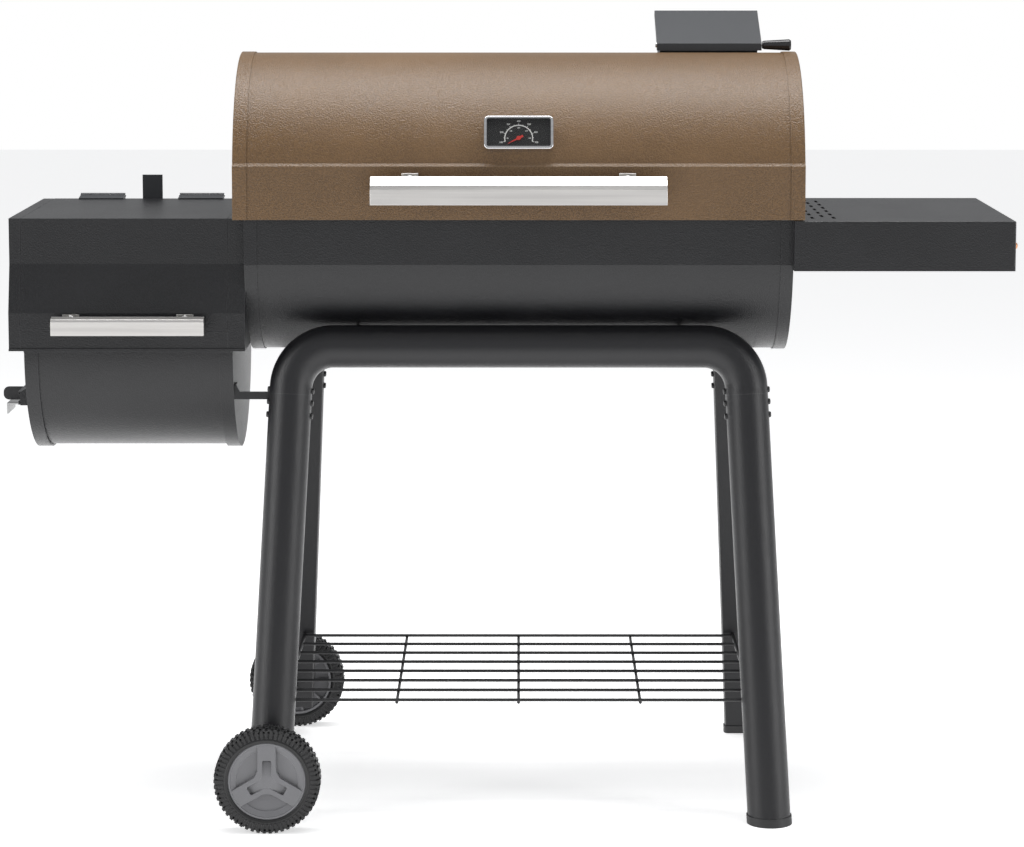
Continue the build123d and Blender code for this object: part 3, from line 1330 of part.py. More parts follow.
export_step(front_right_leg.part, "parts/front_right_leg.step")
export_step(rear_right_leg.part, "parts/rear_right_leg.step")
export_step(front_left_leg.part, "parts/front_left_leg.step")
export_step(rear_left_leg.part, "parts/rear_left_leg.step")
export_step(front_rail.part, "parts/front_rail.step")
export_step(rear_rail.part, "parts/rear_rail.step")
export_step(seam_screws.part, "parts/seam_screws.step")
export_step(foot_shoes.part, "parts/foot_shoes.step")
export_step(barrel_saddles.part, "parts/barrel_saddles.step")
export_step(firebox_brace.part, "parts/firebox_brace.step")
export_step(front_tyre.part, "parts/front_tyre.step")
export_step(rear_tyre.part, "parts/rear_tyre.step")
export_step(front_hub.part, "parts/front_hub.step")
export_step(rear_hub.part, "parts/rear_hub.step")
export_step(front_hub_cap.part, "parts/front_hub_cap.step")
export_step(rear_hub_cap.part, "parts/rear_hub_cap.step")
export_step(axle.part, "parts/axle.step")
export_step(axle_hardware.part, "parts/axle_hardware.step")
export_step(wire_shelf.part, "parts/wire_shelf.step")
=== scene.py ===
"""Looks of an offset smoker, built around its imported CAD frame. Metres, +Z up, -Y is the front."""
import json
from math import atan2, cos, pi, radians, sin

import bmesh
import bpy
from mathutils import Euler, Matrix, Vector


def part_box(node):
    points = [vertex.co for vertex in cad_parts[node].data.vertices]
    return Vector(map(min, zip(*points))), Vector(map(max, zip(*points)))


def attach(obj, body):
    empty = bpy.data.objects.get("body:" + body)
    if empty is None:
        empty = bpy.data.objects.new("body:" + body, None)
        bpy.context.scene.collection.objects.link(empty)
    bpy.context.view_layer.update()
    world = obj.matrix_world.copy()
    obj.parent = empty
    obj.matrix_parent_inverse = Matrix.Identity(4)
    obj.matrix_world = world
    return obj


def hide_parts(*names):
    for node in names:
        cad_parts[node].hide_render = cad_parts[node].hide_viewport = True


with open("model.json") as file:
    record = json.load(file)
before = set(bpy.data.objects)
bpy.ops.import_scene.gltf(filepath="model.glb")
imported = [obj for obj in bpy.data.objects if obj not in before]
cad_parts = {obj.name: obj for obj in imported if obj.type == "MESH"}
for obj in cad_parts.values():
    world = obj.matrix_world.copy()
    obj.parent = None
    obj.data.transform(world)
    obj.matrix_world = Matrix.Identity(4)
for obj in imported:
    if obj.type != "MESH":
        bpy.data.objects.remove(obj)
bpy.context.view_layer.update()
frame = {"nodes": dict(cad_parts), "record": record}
MM = 0.001
SHARP = radians(32)        # edges that turn more than this are shaded as sharp


# ---------------------------------------------------------------- shader groups
def new_group(name, inputs, outputs):
    """An empty shader group with named sockets: (label, kind, value) in, (label, kind) out."""
    group = bpy.data.node_groups.new(name, "ShaderNodeTree")
    for label, kind, value in inputs:
        socket = group.interface.new_socket(label, in_out="INPUT", socket_type=kind)
        socket.default_value = value
    for label, kind in outputs:
        group.interface.new_socket(label, in_out="OUTPUT", socket_type=kind)
    source = group.nodes.new("NodeGroupInput")
    sink = group.nodes.new("NodeGroupOutput")
    return group, source, sink


def math_node(tree, operation, first, second=None, clamp=False):
    """A math node whose inputs are sockets or plain numbers; returns its output socket."""
    node = tree.nodes.new("ShaderNodeMath")
    node.operation = operation
    node.use_clamp = clamp
    for index, value in enumerate((first, second)):
        if value is None:
            continue
        if isinstance(value, (int, float)):
            node.inputs[index].default_value = value
        else:
            tree.links.new(value, node.inputs[index])
    return node.outputs[0]


def spread(tree, value, low, high):
    """Stretch a socket's low..high to 0..1, with a smooth start and end."""
    node = tree.nodes.new("ShaderNodeMapRange")
    node.interpolation_type = "SMOOTHSTEP"
    node.inputs["From Min"].default_value = low
    node.inputs["From Max"].default_value = high
    tree.links.new(value, node.inputs["Value"])
    return node.outputs["Result"]


def place(tree):
    """Position on the object, in metres, as every piece's own coordinates give it."""
    return tree.nodes.new("ShaderNodeTexCoord").outputs["Object"]


def stretched_noise(tree, scale, detail, squeeze=(1, 1, 1), roughness=0.5):
    """Noise over the object, squeezed along each axis; returns its value socket."""
    mapping = tree.nodes.new("ShaderNodeMapping")
    mapping.inputs["Scale"].default_value = squeeze
    tree.links.new(place(tree), mapping.inputs["Vector"])
    noise = tree.nodes.new("ShaderNodeTexNoise")
    noise.inputs["Detail"].default_value = detail
    noise.inputs["Roughness"].default_value = roughness
    if isinstance(scale, (int, float)):
        noise.inputs["Scale"].default_value = scale
    else:
        tree.links.new(scale, noise.inputs["Scale"])
    tree.links.new(mapping.outputs["Vector"], noise.inputs["Vector"])
    return noise.outputs["Fac"]


def make_hammered_skin():
    """Orange-peel dimples of a hammered powder coat."""
    group, source, sink = new_group(
        "hammered_skin", [("Cells per metre", "NodeSocketFloat", 260.0)],
        [("Height", "NodeSocketFloat"), ("Valley", "NodeSocketFloat")])
    cells = group.nodes.new("ShaderNodeTexVoronoi")
    cells.feature = "SMOOTH_F1"
    cells.inputs["Smoothness"].default_value = 0.9
    group.links.new(source.outputs["Cells per metre"], cells.inputs["Scale"])
    group.links.new(place(group), cells.inputs["Vector"])
    ripple = stretched_noise(group, math_node(group, "MULTIPLY", source.outputs[0], 1.7), 2.0)
    height = math_node(group, "ADD", cells.outputs["Distance"], math_node(group, "MULTIPLY", ripple, 0.9))
    group.links.new(height, sink.inputs["Height"])
    # Valley is 0 at the bottom of each dimple and 1 on its rim; the hammered coats use it to paint shade
    # into the dimple bottoms.
    group.links.new(spread(group, cells.outputs["Distance"], 0.15, 0.65), sink.inputs["Valley"])
    return group


def make_powder_grain():
    """Fine sandy grain of a textured powder coat or of cast iron."""
    group, source, sink = new_group(
        "powder_grain", [("Grains per metre", "NodeSocketFloat", 900.0)],
        [("Height", "NodeSocketFloat"), ("Speck", "NodeSocketFloat")])
    grain = stretched_noise(group, source.outputs["Grains per metre"], 3.0, roughness=0.65)
    group.links.new(grain, sink.inputs["Height"])
    group.links.new(spread(group, grain, 0.55, 0.75), sink.inputs["Speck"])
    return group


def make_edge_wear():
    """Mask of outer edges, where a coat is worn thin and where a painted highlight stands in for light
    caught on the edge, broken up by noise.
    """
    group, source, sink = new_group(
        "edge_wear_and_highlight", [("Width", "NodeSocketFloat", 0.0012), ("Breakup", "NodeSocketFloat", 0.5)],
        [("Edge", "NodeSocketFloat")])
    bevel = group.nodes.new("ShaderNodeBevel")
    bevel.samples = 4
    group.links.new(source.outputs["Width"], bevel.inputs["Radius"])
    flat = group.nodes.new("ShaderNodeNewGeometry")
    turn = group.nodes.new("ShaderNodeVectorMath")
    turn.operation = "DOT_PRODUCT"
    group.links.new(bevel.outputs["Normal"], turn.inputs[0])
    group.links.new(flat.outputs["Normal"], turn.inputs[1])
    lean = math_node(group, "SUBTRACT", 1.0, turn.outputs["Value"], clamp=True)
    edge = spread(group, lean, 0.02, 0.25)
    chips_per_metre = 120.0
    chips = stretched_noise(group, chips_per_metre, 3.0)
    broken = math_node(group, "MULTIPLY", chips, source.outputs["Breakup"])
    kept = math_node(group, "SUBTRACT", 1.0, broken)
    group.links.new(math_node(group, "MULTIPLY", edge, kept, clamp=True), sink.inputs["Edge"])
    return group


def make_handling():
    """Broad soft patches of dust and handling, with a little more on what faces up."""
    group, source, sink = new_group(
        "handling", [("Amount", "NodeSocketFloat", 0.3)], [("Patch", "NodeSocketFloat")])
    clouds_per_metre = 7.0
    cloud = spread(group, stretched_noise(group, clouds_per_metre, 5.0), 0.35, 0.75)
    up = group.nodes.new("ShaderNodeSeparateXYZ")
    geometry = group.nodes.new("ShaderNodeNewGeometry")
    group.links.new(geometry.outputs["Normal"], up.inputs[0])
    facing = math_node(group, "MAXIMUM", up.outputs["Z"], 0.0)
    lifted = math_node(group, "ADD", cloud, math_node(group, "MULTIPLY", facing, 0.6))
    group.links.new(math_node(group, "MULTIPLY", lifted, source.outputs["Amount"], clamp=True),
                    sink.inputs["Patch"])
    return group


def make_brushing():
    """Long fine scratches along X, as on brushed sheet."""
    group, source, sink = new_group(
        "brushing", [("Lines per metre", "NodeSocketFloat", 1500.0)],
        [("Height", "NodeSocketFloat"), ("Tone", "NodeSocketFloat")])
    lines = stretched_noise(group, source.outputs["Lines per metre"], 2.0, squeeze=(0.006, 1, 1))
    streaks_per_metre = 160.0
    streak = stretched_noise(group, streaks_per_metre, 2.0, squeeze=(0.02, 1, 1))
    group.links.new(lines, sink.inputs["Height"])
    group.links.new(spread(group, streak, 0.3, 0.7), sink.inputs["Tone"])
    return group


HAMMERED = make_hammered_skin()
POWDER = make_powder_grain()
EDGES = make_edge_wear()
HANDLING = make_handling()
BRUSHING = make_brushing()


# ---------------------------------------------------------------- materials
class Finish:
    """One material being made: its tree, its shader and short ways to add to them."""

    def __init__(self, name, roughness=0.5, metallic=0.0):
        self.material = bpy.data.materials.new(name)
        self.material.use_nodes = True
        self.tree = self.material.node_tree
        self.shader = self.tree.nodes["Principled BSDF"]
        self.shader.inputs["Roughness"].default_value = roughness
        self.shader.inputs["Metallic"].default_value = metallic

    def use(self, group, **values):
        """Place a shared group with this finish's own values."""
        node = self.tree.nodes.new("ShaderNodeGroup")
        node.node_tree = group
        for label, value in values.items():
            node.inputs[label.replace("_", " ")].default_value = value
        return node.outputs

    def mix(self, amount, first, second):
        """Colour between two colours or sockets; returns a socket."""
        node = self.tree.nodes.new("ShaderNodeMix")
        node.data_type = "RGBA"
        self.tree.links.new(amount, node.inputs["Factor"])
        for socket, value in ((node.inputs["A"], first), (node.inputs["B"], second)):
            if isinstance(value, tuple):
                socket.default_value = (*value, 1)
            else:
                self.tree.links.new(value, socket)
        return node.outputs["Result"]

    def colour(self, socket):
        """Use a socket as the base colour."""
        self.tree.links.new(socket, self.shader.inputs["Base Color"])

    def gloss(self, low, high, amount):
        """Roughness from low to high with a mask."""
        span = math_node(self.tree, "MULTIPLY", amount, high - low)
        self.tree.links.new(math_node(self.tree, "ADD", span, low), self.shader.inputs["Roughness"])

    def relief(self, height, depth, strength=1.0):
        """Bump from a height socket; depth in metres."""
        bump = self.tree.nodes.new("ShaderNodeBump")
        bump.inputs["Strength"].default_value = strength
        bump.inputs["Distance"].default_value = depth
        self.tree.links.new(height, bump.inputs["Height"])
        self.tree.links.new(bump.outputs["Normal"], self.shader.inputs["Normal"])


def hammered_coat(name, tone, shade, edge, cells, depth, rough):
    """Hammered powder coat: painted shade in the dimples, edges lightened as wear and painted highlight,
    soft patches.
    """
    finish = Finish(name)
    skin = finish.use(HAMMERED, Cells_per_metre=cells)
    wear_and_highlight = finish.use(EDGES, Width=0.0014)
    patch = finish.use(HANDLING, Amount=0.35)
    # Painted shade: the dimple bottoms take the darker shade colour.
    body = finish.mix(skin["Valley"], shade, tone)
    dusty = finish.mix(patch["Patch"], body, tuple(min(1.0, c * 1.22 + 0.004) for c in tone))
    # Edges take the lighter edge colour: partly a worn thin coat, partly a painted highlight.
    finish.colour(finish.mix(wear_and_highlight["Edge"], dusty, edge))
    finish.gloss(rough[0], rough[1], patch["Patch"])
    finish.relief(skin["Height"], depth)
    return finish


def textured_coat(name, tone, edge, grains, depth, rough):
    """Fine textured powder coat, or a moulded plastic's grain."""
    finish = Finish(name)
    grain = finish.use(POWDER, Grains_per_metre=grains)
    wear_and_highlight = finish.use(EDGES, Width=0.0010)
    patch = finish.use(HANDLING, Amount=0.3)
    speckled = finish.mix(grain["Speck"], tone, tuple(c * 1.5 + 0.004 for c in tone))
    # Edges take the lighter edge colour: partly a worn thin coat, partly a painted highlight.
    finish.colour(finish.mix(wear_and_highlight["Edge"], speckled, edge))
    finish.gloss(rough[0], rough[1], patch["Patch"])
    finish.relief(grain["Height"], depth)
    return finish


def bright_metal(name, tone, shade, lines, depth, rough):
    """Brushed or plated metal."""
    finish = Finish(name, metallic=1.0)
    brushed = finish.use(BRUSHING, Lines_per_metre=lines)
    patch = finish.use(HANDLING, Amount=0.25)
    finish.colour(finish.mix(brushed["Tone"], shade, tone))
    finish.gloss(rough[0], rough[1], patch["Patch"])
    finish.relief(brushed["Height"], depth, 0.5)
    return finish


def clear_glass():
    """Flat window of the gauge."""
    finish = Finish("gauge_window", roughness=0.02)
    finish.shader.inputs["Base Color"].default_value = (0.02, 0.02, 0.02, 1)
    finish.shader.inputs["Alpha"].default_value = 0.14
    return finish


def plain_enamel(name, tone, rough=0.35):
    """Printed or lacquered colour with a faint uneven gloss."""
    finish = Finish(name, roughness=rough)
    grain = finish.use(POWDER, Grains_per_metre=2600.0)
    finish.colour(finish.mix(grain["Speck"], tone, tuple(c * 0.85 for c in tone)))
    finish.gloss(rough, rough + 0.12, grain["Speck"])
    return finish


# In the hammered and textured coats the last colour is the edge colour, lighter than the tone: partly
# wear, partly a painted highlight. A hammered coat's second colour is painted shade for its dimple
# bottoms.
FINISHES = {
    "lid_paint": hammered_coat("brown_hammered_coat", (0.138, 0.077, 0.031), (0.082, 0.045, 0.018),
                               (0.19, 0.125, 0.07), 480.0, 0.00060, (0.30, 0.38)).material,
    "barrel_paint": hammered_coat("black_hammered_coat", (0.0070, 0.0072, 0.0085), (0.003, 0.003, 0.0038),
                                  (0.050, 0.050, 0.053), 520.0, 0.00034, (0.30, 0.40)).material,
    "frame_paint": textured_coat("black_frame_coat", (0.0075, 0.0075, 0.009), (0.08, 0.08, 0.085),
                                 900.0, 0.00034, (0.30, 0.40)).material,
    "flap_paint": textured_coat("grey_flap_coat", (0.024, 0.026, 0.030), (0.16, 0.165, 0.17),
                                1100.0, 0.00016, (0.42, 0.52)).material,
    "wire_paint": textured_coat("wire_coat", (0.010, 0.010, 0.011), (0.07, 0.07, 0.072),
                                1500.0, 0.00005, (0.3, 0.4)).material,
    "black_screw": textured_coat("black_screw_coat", (0.02, 0.02, 0.021), (0.10, 0.10, 0.10),
                                 1200.0, 0.00004, (0.28, 0.38)).material,
    "stainless": bright_metal("brushed_stainless", (0.78, 0.76, 0.735), (0.68, 0.66, 0.64),
                              1900.0, 0.000012, (0.28, 0.36)).material,
    "zinc_steel": bright_metal("zinc_plate", (0.55, 0.55, 0.54), (0.46, 0.46, 0.46),
                               900.0, 0.00003, (0.3, 0.42)).material,
    "iron": textured_coat("seasoned_iron", (0.024, 0.023, 0.022), (0.07, 0.068, 0.066),
                          700.0, 0.0003, (0.5, 0.65)).material,
    "bezel": bright_metal("bright_bezel", (0.80, 0.80, 0.81), (0.72, 0.72, 0.73),
                          400.0, 0.00001, (0.12, 0.2)).material,
    "dial_black": plain_enamel("dial_enamel", (0.007, 0.0075, 0.008), 0.5).material,
    "dial_glass": clear_glass().material,
    "needle_red": plain_enamel("needle_lacquer", (0.62, 0.045, 0.035), 0.3).material,
    "grip_black": textured_coat("gloss_grip", (0.012, 0.012, 0.013), (0.05, 0.05, 0.05),
                                600.0, 0.00002, (0.12, 0.22)).material,
    "shoe_black": textured_coat("moulded_shoe", (0.02, 0.02, 0.021), (0.06, 0.06, 0.062),
                                1200.0, 0.00008, (0.5, 0.6)).material,
    "tyre_black": textured_coat("moulded_tyre", (0.006, 0.006, 0.0065), (0.11, 0.11, 0.115),
                                1000.0, 0.00012, (0.4, 0.55)).material,
    "hub_grey": textured_coat("moulded_hub", (0.150, 0.150, 0.158), (0.30, 0.30, 0.31),
                              1500.0, 0.00006, (0.38, 0.5)).material,
}
SCALE_WHITE = plain_enamel("scale_print", (0.78, 0.78, 0.76), 0.45).material
COPPER = bright_metal("copper_plate", (0.70, 0.36, 0.20), (0.55, 0.27, 0.15),
                      900.0, 0.00002, (0.25, 0.35)).material


def paint_cad_nodes():
    """Give every node of the frame its finish."""
    slot_of = {part["node"]: part["material_slot"] for part in frame["record"]["subparts"]}
    for name, node in frame["nodes"].items():
        node.data.materials.clear()
        node.data.materials.append(FINISHES[slot_of[name]])


paint_cad_nodes()


# ---------------------------------------------------------------- mesh helpers
def finish_piece(name, bm, body, slot, material=None):
    """Turn a bmesh into a piece that rides on a body and wears a slot's finish."""
    bmesh.ops.recalc_face_normals(bm, faces=bm.faces)
    mesh = bpy.data.meshes.new(name)
    bm.to_mesh(mesh)
    bm.free()
    mesh.shade_smooth()
    mesh.set_sharp_from_angle(angle=SHARP)
    mesh.materials.append(material or FINISHES[slot])
    piece = bpy.data.objects.new(name, mesh)
    bpy.context.scene.collection.objects.link(piece)
    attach(piece, body)
    return piece


def turned_ring(bm, profile, axle, outward, steps=128):
    """Turn a closed profile of (radius, out) points about an axle along Y."""
    rings = []
    for step in range(steps):
        angle = 2 * pi * step / steps
        rings.append([bm.verts.new(axle + Vector((r * cos(angle), outward * out, r * sin(angle))))
                      for r, out in profile])
    for step in range(steps):
        here, after = rings[step], rings[(step + 1) % steps]
        for index in range(len(profile)):
            other = (index + 1) % len(profile)
            bm.faces.new((here[index], here[other], after[other], after[index]))


def turned_solid(bm, profile, axle, outward, steps=128):
    """Turn an open profile that starts and ends on the axle, closed by fans at its ends."""
    angles = [2 * pi * step / steps for step in range(steps)]
    rings = []
    for r, out in profile:
        if r == 0:
            rings.append([bm.verts.new(axle + Vector((0, outward * out, 0)))])
        else:
            rings.append([bm.verts.new(axle + Vector((r * cos(a), outward * out, r * sin(a))))
                          for a in angles])
    for near, far in zip(rings, rings[1:]):
        for step in range(steps):
            after = (step + 1) % steps
            if len(near) == 1:
                bm.faces.new((near[0], far[step], far[after]))
            elif len(far) == 1:
                bm.faces.new((near[step], far[0], near[after]))
            else:
                bm.faces.new((near[step], far[step], far[after], near[after]))


def block(bm, corners):
    """A solid between two four-sided faces, given as eight points, near face first."""
    v = [bm.verts.new(c) for c in corners]
    for face in ((3, 2, 1, 0), (4, 5, 6, 7), (0, 1, 5, 4), (1, 2, 6, 5), (2, 3, 7, 6), (3, 0, 4, 7)):
        bm.faces.new([v[i] for i in face])


def flat_plate(name, outlines, depth, rounding):
    """Mesh of a flat plate with holes: outlines in its own X and Y, its back at 0, edges rounded."""
    curve = bpy.data.curves.new(name + "_outline", "CURVE")
    curve.dimensions = "2D"
    curve.fill_mode = "BOTH"
    curve.extrude = depth / 2 - rounding
    curve.bevel_depth = rounding
    curve.bevel_resolution = 2
    curve.offset = -rounding
    for outline in outlines:
        spline = curve.splines.new("POLY")
        spline.points.add(len(outline) - 1)
        for point, (x, y) in zip(spline.points, outline):
            point.co = (x, y, 0, 1)
        spline.use_cyclic_u = True
    holder = bpy.data.objects.new(name + "_outline", curve)
    mesh = bpy.data.meshes.new_from_object(holder)
    bpy.data.objects.remove(holder)
    mesh.transform(Matrix.Translation((0, 0, depth / 2)))
    return mesh


# ---------------------------------------------------------------- wheels
TREAD_LUGS = 54
SIDE_RIBS = 64
TREAD_DEPTH = 2.6 * MM
HUB_RIBS = 9
RIB_HALF = 1.4 * MM
ARM_HALF = 13.5 * MM
CHANNEL_HALF = 6.4 * MM
CHANNEL_REACH = 30 * MM
ELBOW = 8.5 * MM           # where the channel's arms leave its flush middle
CHANNEL_FALL = 0.28        # how steeply the channel's floor sinks outward


def lug(bm, axle, outward, middle, half_angle, inner, outer, near, far, taper=0.8):
    """A raised block on the tyre, between two radii and two depths along the axle."""
    corners = []
    for radius, share in ((inner, 1.0), (outer, taper)):
        for out, side in ((near, -1), (near, 1), (far, 1), (far, -1)):
            angle = middle + side * half_angle * share
            corners.append(axle + Vector((radius * cos(angle), outward * out, radius * sin(angle))))
    block(bm, corners)


def build_tyre(end, outward):
    """Moulded tyre: ribbed side walls, a shoulder ridge and three rows of tread lugs."""
    low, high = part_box(end + "_tyre")
    axle = (low + high) / 2
    radius = (high.z - low.z) / 2
    half = (high.y - low.y) / 2
    bore = (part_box(end + "_hub")[1].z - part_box(end + "_hub")[0].z) / 2
    ground = radius - TREAD_DEPTH
    bm = bmesh.new()
    near_wall = [(bore, -half + 2 * MM), (bore + 1.5 * MM, -half + MM), (bore + 4 * MM, -half + 0.6 * MM),
                 (bore + 6 * MM, -half + 1.8 * MM), (ground - 4 * MM, -half + 2.4 * MM),
                 (ground, -half + 5.5 * MM)]
    far_wall = [(r, -out) for r, out in reversed(near_wall)]
    turned_ring(bm, near_wall + [(ground + 0.3 * MM, 0)] + far_wall, axle, outward)
    step = 2 * pi / TREAD_LUGS
    for row, (near, far) in enumerate(((-half + 2.2 * MM, -half + 12 * MM), (-5 * MM, 5 * MM),
                                       (half - 12 * MM, half - 2.2 * MM))):
        for index in range(TREAD_LUGS):
            middle = (index + (row % 2) / 2) * step
            lug(bm, axle, outward, middle, step * 0.33, ground - MM, radius, near, far)
    step = 2 * pi / SIDE_RIBS
    for index in range(SIDE_RIBS):
        for side in (-1, 1):
            lug(bm, axle, outward * side, index * step, step * 0.27, bore + 6.5 * MM, radius - 2.2 * MM,
                half - 4.5 * MM, half - 0.7 * MM, taper=1.0)
    tyre = finish_piece(end + "_tyre_tread", bm, end + "_wheel", "tyre_black")
    soften = tyre.modifiers.new("soft_edges", "BEVEL")
    soften.width = 0.35 * MM
    soften.segments = 1
    soften.angle_limit = radians(50)
    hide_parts(end + "_tyre")


def three_arms(half_width, reach, elbow, rim=None):
    """Outline of three arms, the first one up. With a rim radius the arms end on its arc."""
    outline = []
    for arm in range(3):
        way = radians(90 + 120 * arm)
        along = Vector((cos(way), sin(way)))
        across = Vector((-sin(way), cos(way)))
        if rim:
            spread_angle = atan2(half_width, reach)
            ends = [(rim * cos(way + a), rim * sin(way + a))
                    for a in (-spread_angle, -spread_angle / 3, spread_angle / 3, spread_angle)]
        else:
            ends = [tuple(along * reach - across * half_width * 0.8),
                    tuple(along * reach + across * half_width * 0.8)]
            ends = [tuple(along * (reach - half_width * 0.3) - across * half_width), *ends,
                    tuple(along * (reach - half_width * 0.3) + across * half_width)]
        outline.append(tuple(along * elbow - across * half_width))
        outline.extend(ends)
        outline.append(tuple(along * elbow + across * half_width))
    return outline


def sloped_star(bm, outline, base, top, elbow, placing):
    """A three-armed solid under an outline of six points an arm: flush in the middle, sinking outward."""
    upper, lower = [], []
    for index, (x, y) in enumerate(outline):
        way = radians(90 + 120 * (index // 6))
        along = x * cos(way) + y * sin(way)
        upper.append(bm.verts.new(placing @ Vector((x, y, top - max(0.0, along - elbow) * CHANNEL_FALL))))
        lower.append(bm.verts.new(placing @ Vector((x, y, base))))
    bm.faces.new([upper[index] for arm in range(3) for index in (6 * arm, 6 * arm + 5)])
    for arm in range(3):
        bm.faces.new(upper[6 * arm:6 * arm + 6])
    for index in range(len(outline)):
        after = (index + 1) % len(outline)
        bm.faces.new((upper[index], lower[index], lower[after], upper[after]))
    bm.faces.new(list(reversed(lower)))


def build_hub(end, outward):
    """Moulded hub: a rim, a stepped dish, three broad arms with a sunk channel, ribs behind."""
    low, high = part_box(end + "_hub")
    axle = (low + high) / 2
    radius = (high.z - low.z) / 2
    half = (high.y - low.y) / 2
    face = half - 2 * MM
    floor = face - 7 * MM
    bm = bmesh.new()
    turned_solid(bm, [(0, floor), (radius - 15 * MM, floor), (radius - 12 * MM, floor + MM),
                      (radius - 11.5 * MM, face - 4.5 * MM), (radius - 4 * MM, face - 1.5 * MM),
                      (radius - 3 * MM, face), (radius - 1.2 * MM, face), (radius, face - MM),
                      (radius, -face + MM), (radius - MM, -face), (radius - 4 * MM, -face),
                      (radius - 4.5 * MM, -face + 9 * MM), (18 * MM, -face + 10 * MM),
                      (17 * MM, -half), (0, -half)], axle, outward)
    for index in range(HUB_RIBS):
        middle = 2 * pi * index / HUB_RIBS
        along = Vector((cos(middle), 0, sin(middle)))
        side = Vector((-sin(middle), 0, cos(middle))) * RIB_HALF
        corners = [axle + along * reach + side * turn + Vector((0, outward * out, 0))
                   for out in (-face + 11 * MM, -face + 3 * MM)
                   for reach, turn in ((16 * MM, -1), (radius - 4.2 * MM, -1),
                                       (radius - 4.2 * MM, 1), (16 * MM, 1))]
        block(bm, corners)
    turn = Matrix(((-outward, 0, 0), (0, 0, outward), (0, 1, 0))).to_4x4()
    facing = Matrix.Translation(axle) @ turn
    rim = radius - 3.2 * MM
    arms = [three_arms(ARM_HALF, rim, 14 * MM, rim), three_arms(CHANNEL_HALF, CHANNEL_REACH, ELBOW)]
    plate = flat_plate(end + "_arms", arms, face - floor + 0.6 * MM, 0.7 * MM)
    plate.transform(facing @ Matrix.Translation((0, 0, floor - MM)))
    bm.from_mesh(plate)
    filling = three_arms(CHANNEL_HALF + 0.3 * MM, CHANNEL_REACH - 2 * MM, ELBOW)
    sloped_star(bm, filling, floor - MM, face - 0.5 * MM, ELBOW, facing)
    hub = finish_piece(end + "_hub_moulding", bm, end + "_wheel", "hub_grey")
    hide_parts(end + "_hub", end + "_hub_cap")


for end, outward in (("front", -1), ("rear", 1)):
    build_tyre(end, outward)
    build_hub(end, outward)


# ---------------------------------------------------------------- gauge
GAUGE_TILT = radians(25.3)
NEEDLE_DROP = 8.0 * MM
SCALE_RADIUS = 20.0 * MM
SCALE_LOW = radians(-14)
SCALE_HIGH = radians(194)
SCALE_STEPS = 60
SCALE_TICKS = 13


def gauge_matrix():
    """Places things drawn round the needle's pin: X across, Y up the dial, Z out of it."""
    low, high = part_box("gauge_dial")
    out = Vector((0, -cos(GAUGE_TILT), sin(GAUGE_TILT)))
    up = Vector((0, sin(GAUGE_TILT), cos(GAUGE_TILT)))
    turn = Matrix((Vector((1, 0, 0)), up, out)).transposed().to_4x4()
    return Matrix.Translation((low + high) / 2 + out * 0.45 * MM - up * NEEDLE_DROP) @ turn


def build_gauge_scale(on_dial):
    """White scale on the dial: an arc and its ticks."""
    thick = 0.25 * MM
    inner = SCALE_RADIUS - 0.75 * MM
    outer = SCALE_RADIUS + 0.75 * MM
    bm = bmesh.new()
    for step in range(SCALE_STEPS):
        here = SCALE_LOW + (SCALE_HIGH - SCALE_LOW) * step / SCALE_STEPS
        after = SCALE_LOW + (SCALE_HIGH - SCALE_LOW) * (step + 1) / SCALE_STEPS
        block(bm, [Vector((r * cos(a), r * sin(a), z)) for z in (0, thick)
                   for r, a in ((inner, here), (outer, here), (outer, after), (inner, after))])
    for tick in range(SCALE_TICKS):
        angle = SCALE_LOW + (SCALE_HIGH - SCALE_LOW) * tick / (SCALE_TICKS - 1)
        reach = SCALE_RADIUS + (2.6 * MM if tick % 2 == 0 else 1.6 * MM)
        along = Vector((cos(angle), sin(angle), 0))
        across = Vector((-sin(angle), cos(angle), 0)) * 0.4 * MM
        block(bm, [along * r + across * side + Vector((0, 0, z)) for z in (0, thick)
                   for r, side in ((SCALE_RADIUS, -1), (reach, -1), (reach, 1), (SCALE_RADIUS, 1))])
    bm.transform(on_dial)
    finish_piece("gauge_scale", bm, "lid", "dial_black", SCALE_WHITE)


def build_gauge_numbers(name, values, low, high, reach, size, on_dial):
    """A row of plain numbers along the scale, from left to right."""
    bm = bmesh.new()
    for index, value in enumerate(values):
        text = bpy.data.curves.new(name, "FONT")
        text.body = str(value)
        text.size = size
        text.align_x = "CENTER"
        text.align_y = "CENTER"
        text.extrude = 0.1 * MM
        text.offset = size * 0.02
        holder = bpy.data.objects.new(name, text)
        mesh = bpy.data.meshes.new_from_object(holder)
        bpy.data.objects.remove(holder)
        angle = high - (high - low) * index / (len(values) - 1)
        mesh.transform(Matrix.Translation((reach * cos(angle), reach * sin(angle), 0.15 * MM)))
        bm.from_mesh(mesh)
    bm.transform(on_dial)
    finish_piece(name, bm, "lid", "dial_black", SCALE_WHITE)


ON_DIAL = gauge_matrix()
build_gauge_scale(ON_DIAL)
build_gauge_numbers("gauge_numbers_outer", range(100, 701, 100), SCALE_LOW, SCALE_HIGH,
                    SCALE_RADIUS + 6.2 * MM, 3.4 * MM, ON_DIAL)
build_gauge_numbers("gauge_numbers_inner", range(50, 351, 75), 0.0, pi,
                    SCALE_RADIUS - 4.0 * MM, 2.6 * MM, ON_DIAL)


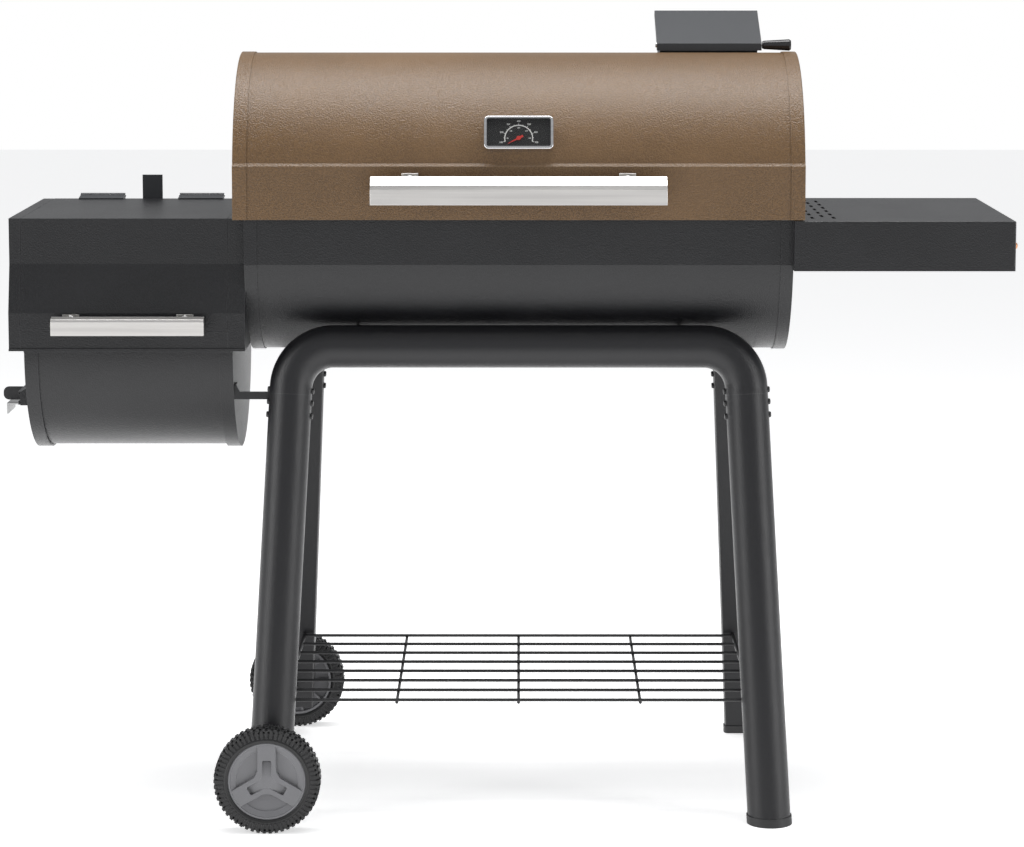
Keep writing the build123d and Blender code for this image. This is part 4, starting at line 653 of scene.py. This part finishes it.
# ---------------------------------------------------------------- handles and table bolt
def build_handle(node, piece_name, body):
    """A folded handle with softened edges: the node's mesh, copied and bevelled."""
    bm = bmesh.new()
    bm.from_mesh(frame["nodes"][node].data)
    bmesh.ops.remove_doubles(bm, verts=bm.verts, dist=0.01 * MM)
    bmesh.ops.dissolve_limit(bm, angle_limit=radians(1), verts=bm.verts, edges=bm.edges)
    handle = finish_piece(piece_name, bm, body, "stainless")
    soften = handle.modifiers.new("soft_edges", "BEVEL")
    soften.width = 0.5 * MM
    soften.segments = 2
    soften.angle_limit = radians(25)
    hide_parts(node)


TABLE_BOLT_Y = -171 * MM
TABLE_BOLT_Z = 827 * MM
COLLAR_PROFILE = [(0, -MM), (7 * MM, -MM), (7 * MM, 0.8 * MM), (6 * MM, 1.6 * MM), (0, 1.6 * MM)]
BOLT_PROFILE = [(0, MM), (5 * MM, MM), (5 * MM, 2.6 * MM), (4.2 * MM, 4.4 * MM), (2.4 * MM, 5.6 * MM),
                (0, 6 * MM)]


def build_table_bolt(name, profile, material):
    """Part of the copper-plated bolt on the table's far end: its dark collar or its head."""
    seat = Vector((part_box("side_table")[1].x, TABLE_BOLT_Y, TABLE_BOLT_Z))
    bm = bmesh.new()
    turned_solid(bm, profile, Vector((0, 0, 0)), 1, 32)
    bm.transform(Matrix.Translation(seat) @ Matrix.Rotation(radians(-90), 4, "Z"))
    finish_piece(name, bm, "stand", "black_screw", material)


build_table_bolt("table_bolt_collar", COLLAR_PROFILE, FINISHES["black_screw"])
build_table_bolt("table_bolt_head", BOLT_PROFILE, COPPER)
build_handle("lid_handle", "lid_handle_folded", "lid")
build_handle("firebox_handle", "firebox_handle_folded", "firebox_door")


# ---------------------------------------------------------------- stage, light and camera
def build_stage():
    """Pale floor that runs past the view."""
    bm = bmesh.new()
    bmesh.ops.create_grid(bm, x_segments=2, y_segments=2, size=14.0)
    mesh = bpy.data.meshes.new("studio_floor")
    bm.to_mesh(mesh)
    bm.free()
    finish = Finish("studio_floor", roughness=0.6)
    cloud = finish.use(HANDLING, Amount=0.1)
    finish.colour(finish.mix(cloud["Patch"], (0.92, 0.92, 0.92), (0.88, 0.88, 0.88)))
    finish.shader.inputs["Emission Color"].default_value = (1, 1, 1, 1)
    finish.shader.inputs["Emission Strength"].default_value = 0.52
    mesh.materials.append(finish.material)
    floor = bpy.data.objects.new("studio_floor", mesh)
    bpy.context.scene.collection.objects.link(floor)


def soft_box(name, place_at, aim, width, height, power):
    """A rectangular area light that faces a point."""
    light = bpy.data.lights.new(name, "AREA")
    light.shape = "RECTANGLE"
    light.size = width
    light.size_y = height
    light.energy = power
    lamp = bpy.data.objects.new(name, light)
    bpy.context.scene.collection.objects.link(lamp)
    lamp.location = place_at
    lamp.rotation_euler = (Vector(aim) - Vector(place_at)).to_track_quat("-Z", "Y").to_euler()


def light_studio():
    """White backdrop, dim even air and four soft boxes."""
    world = bpy.data.worlds.new("studio_air")
    world.use_nodes = True
    nodes = world.node_tree.nodes
    links = world.node_tree.links
    air = nodes["Background"]
    air.inputs["Color"].default_value = (0.97, 0.98, 1.0, 1)
    air.inputs["Strength"].default_value = 0.42
    backdrop = nodes.new("ShaderNodeBackground")
    backdrop.inputs["Color"].default_value = (1, 1, 1, 1)
    backdrop.inputs["Strength"].default_value = 1.0
    seen = nodes.new("ShaderNodeLightPath")
    chosen = nodes.new("ShaderNodeMixShader")
    links.new(seen.outputs["Is Camera Ray"], chosen.inputs[0])
    links.new(air.outputs[0], chosen.inputs[1])
    links.new(backdrop.outputs[0], chosen.inputs[2])
    links.new(chosen.outputs[0], nodes["World Output"].inputs["Surface"])
    bpy.context.scene.world = world
    soft_box("top_box", (0, 0.1, 3.2), (0, 0.0, 0.8), 3.4, 1.3, 95)
    for side, x in (("left", -3.2), ("right", 3.2)):
        soft_box(side + "_box", (x, -1.6, 1.3), (0, 0, 0.7), 0.7, 2.6, 37)
    soft_box("front_box", (0, -4.6, 3.0), (0, 0, 0.7), 3.0, 0.8, 9)
    bpy.context.scene.view_settings.view_transform = "Standard"


def set_camera():
    """Long lens from the front, a little above the object, looking slightly down."""
    camera = bpy.data.cameras.new("view")
    camera.lens = 112.6
    camera.sensor_width = 36.0
    camera.shift_y = -0.117
    holder = bpy.data.objects.new("view", camera)
    bpy.context.scene.collection.objects.link(holder)
    holder.location = (0.0275, -4.771, 1.279)
    holder.rotation_euler = Euler((radians(90 - 6.65), 0, radians(0.12)))
    bpy.context.scene.camera = holder


build_stage()
light_studio()
set_camera()
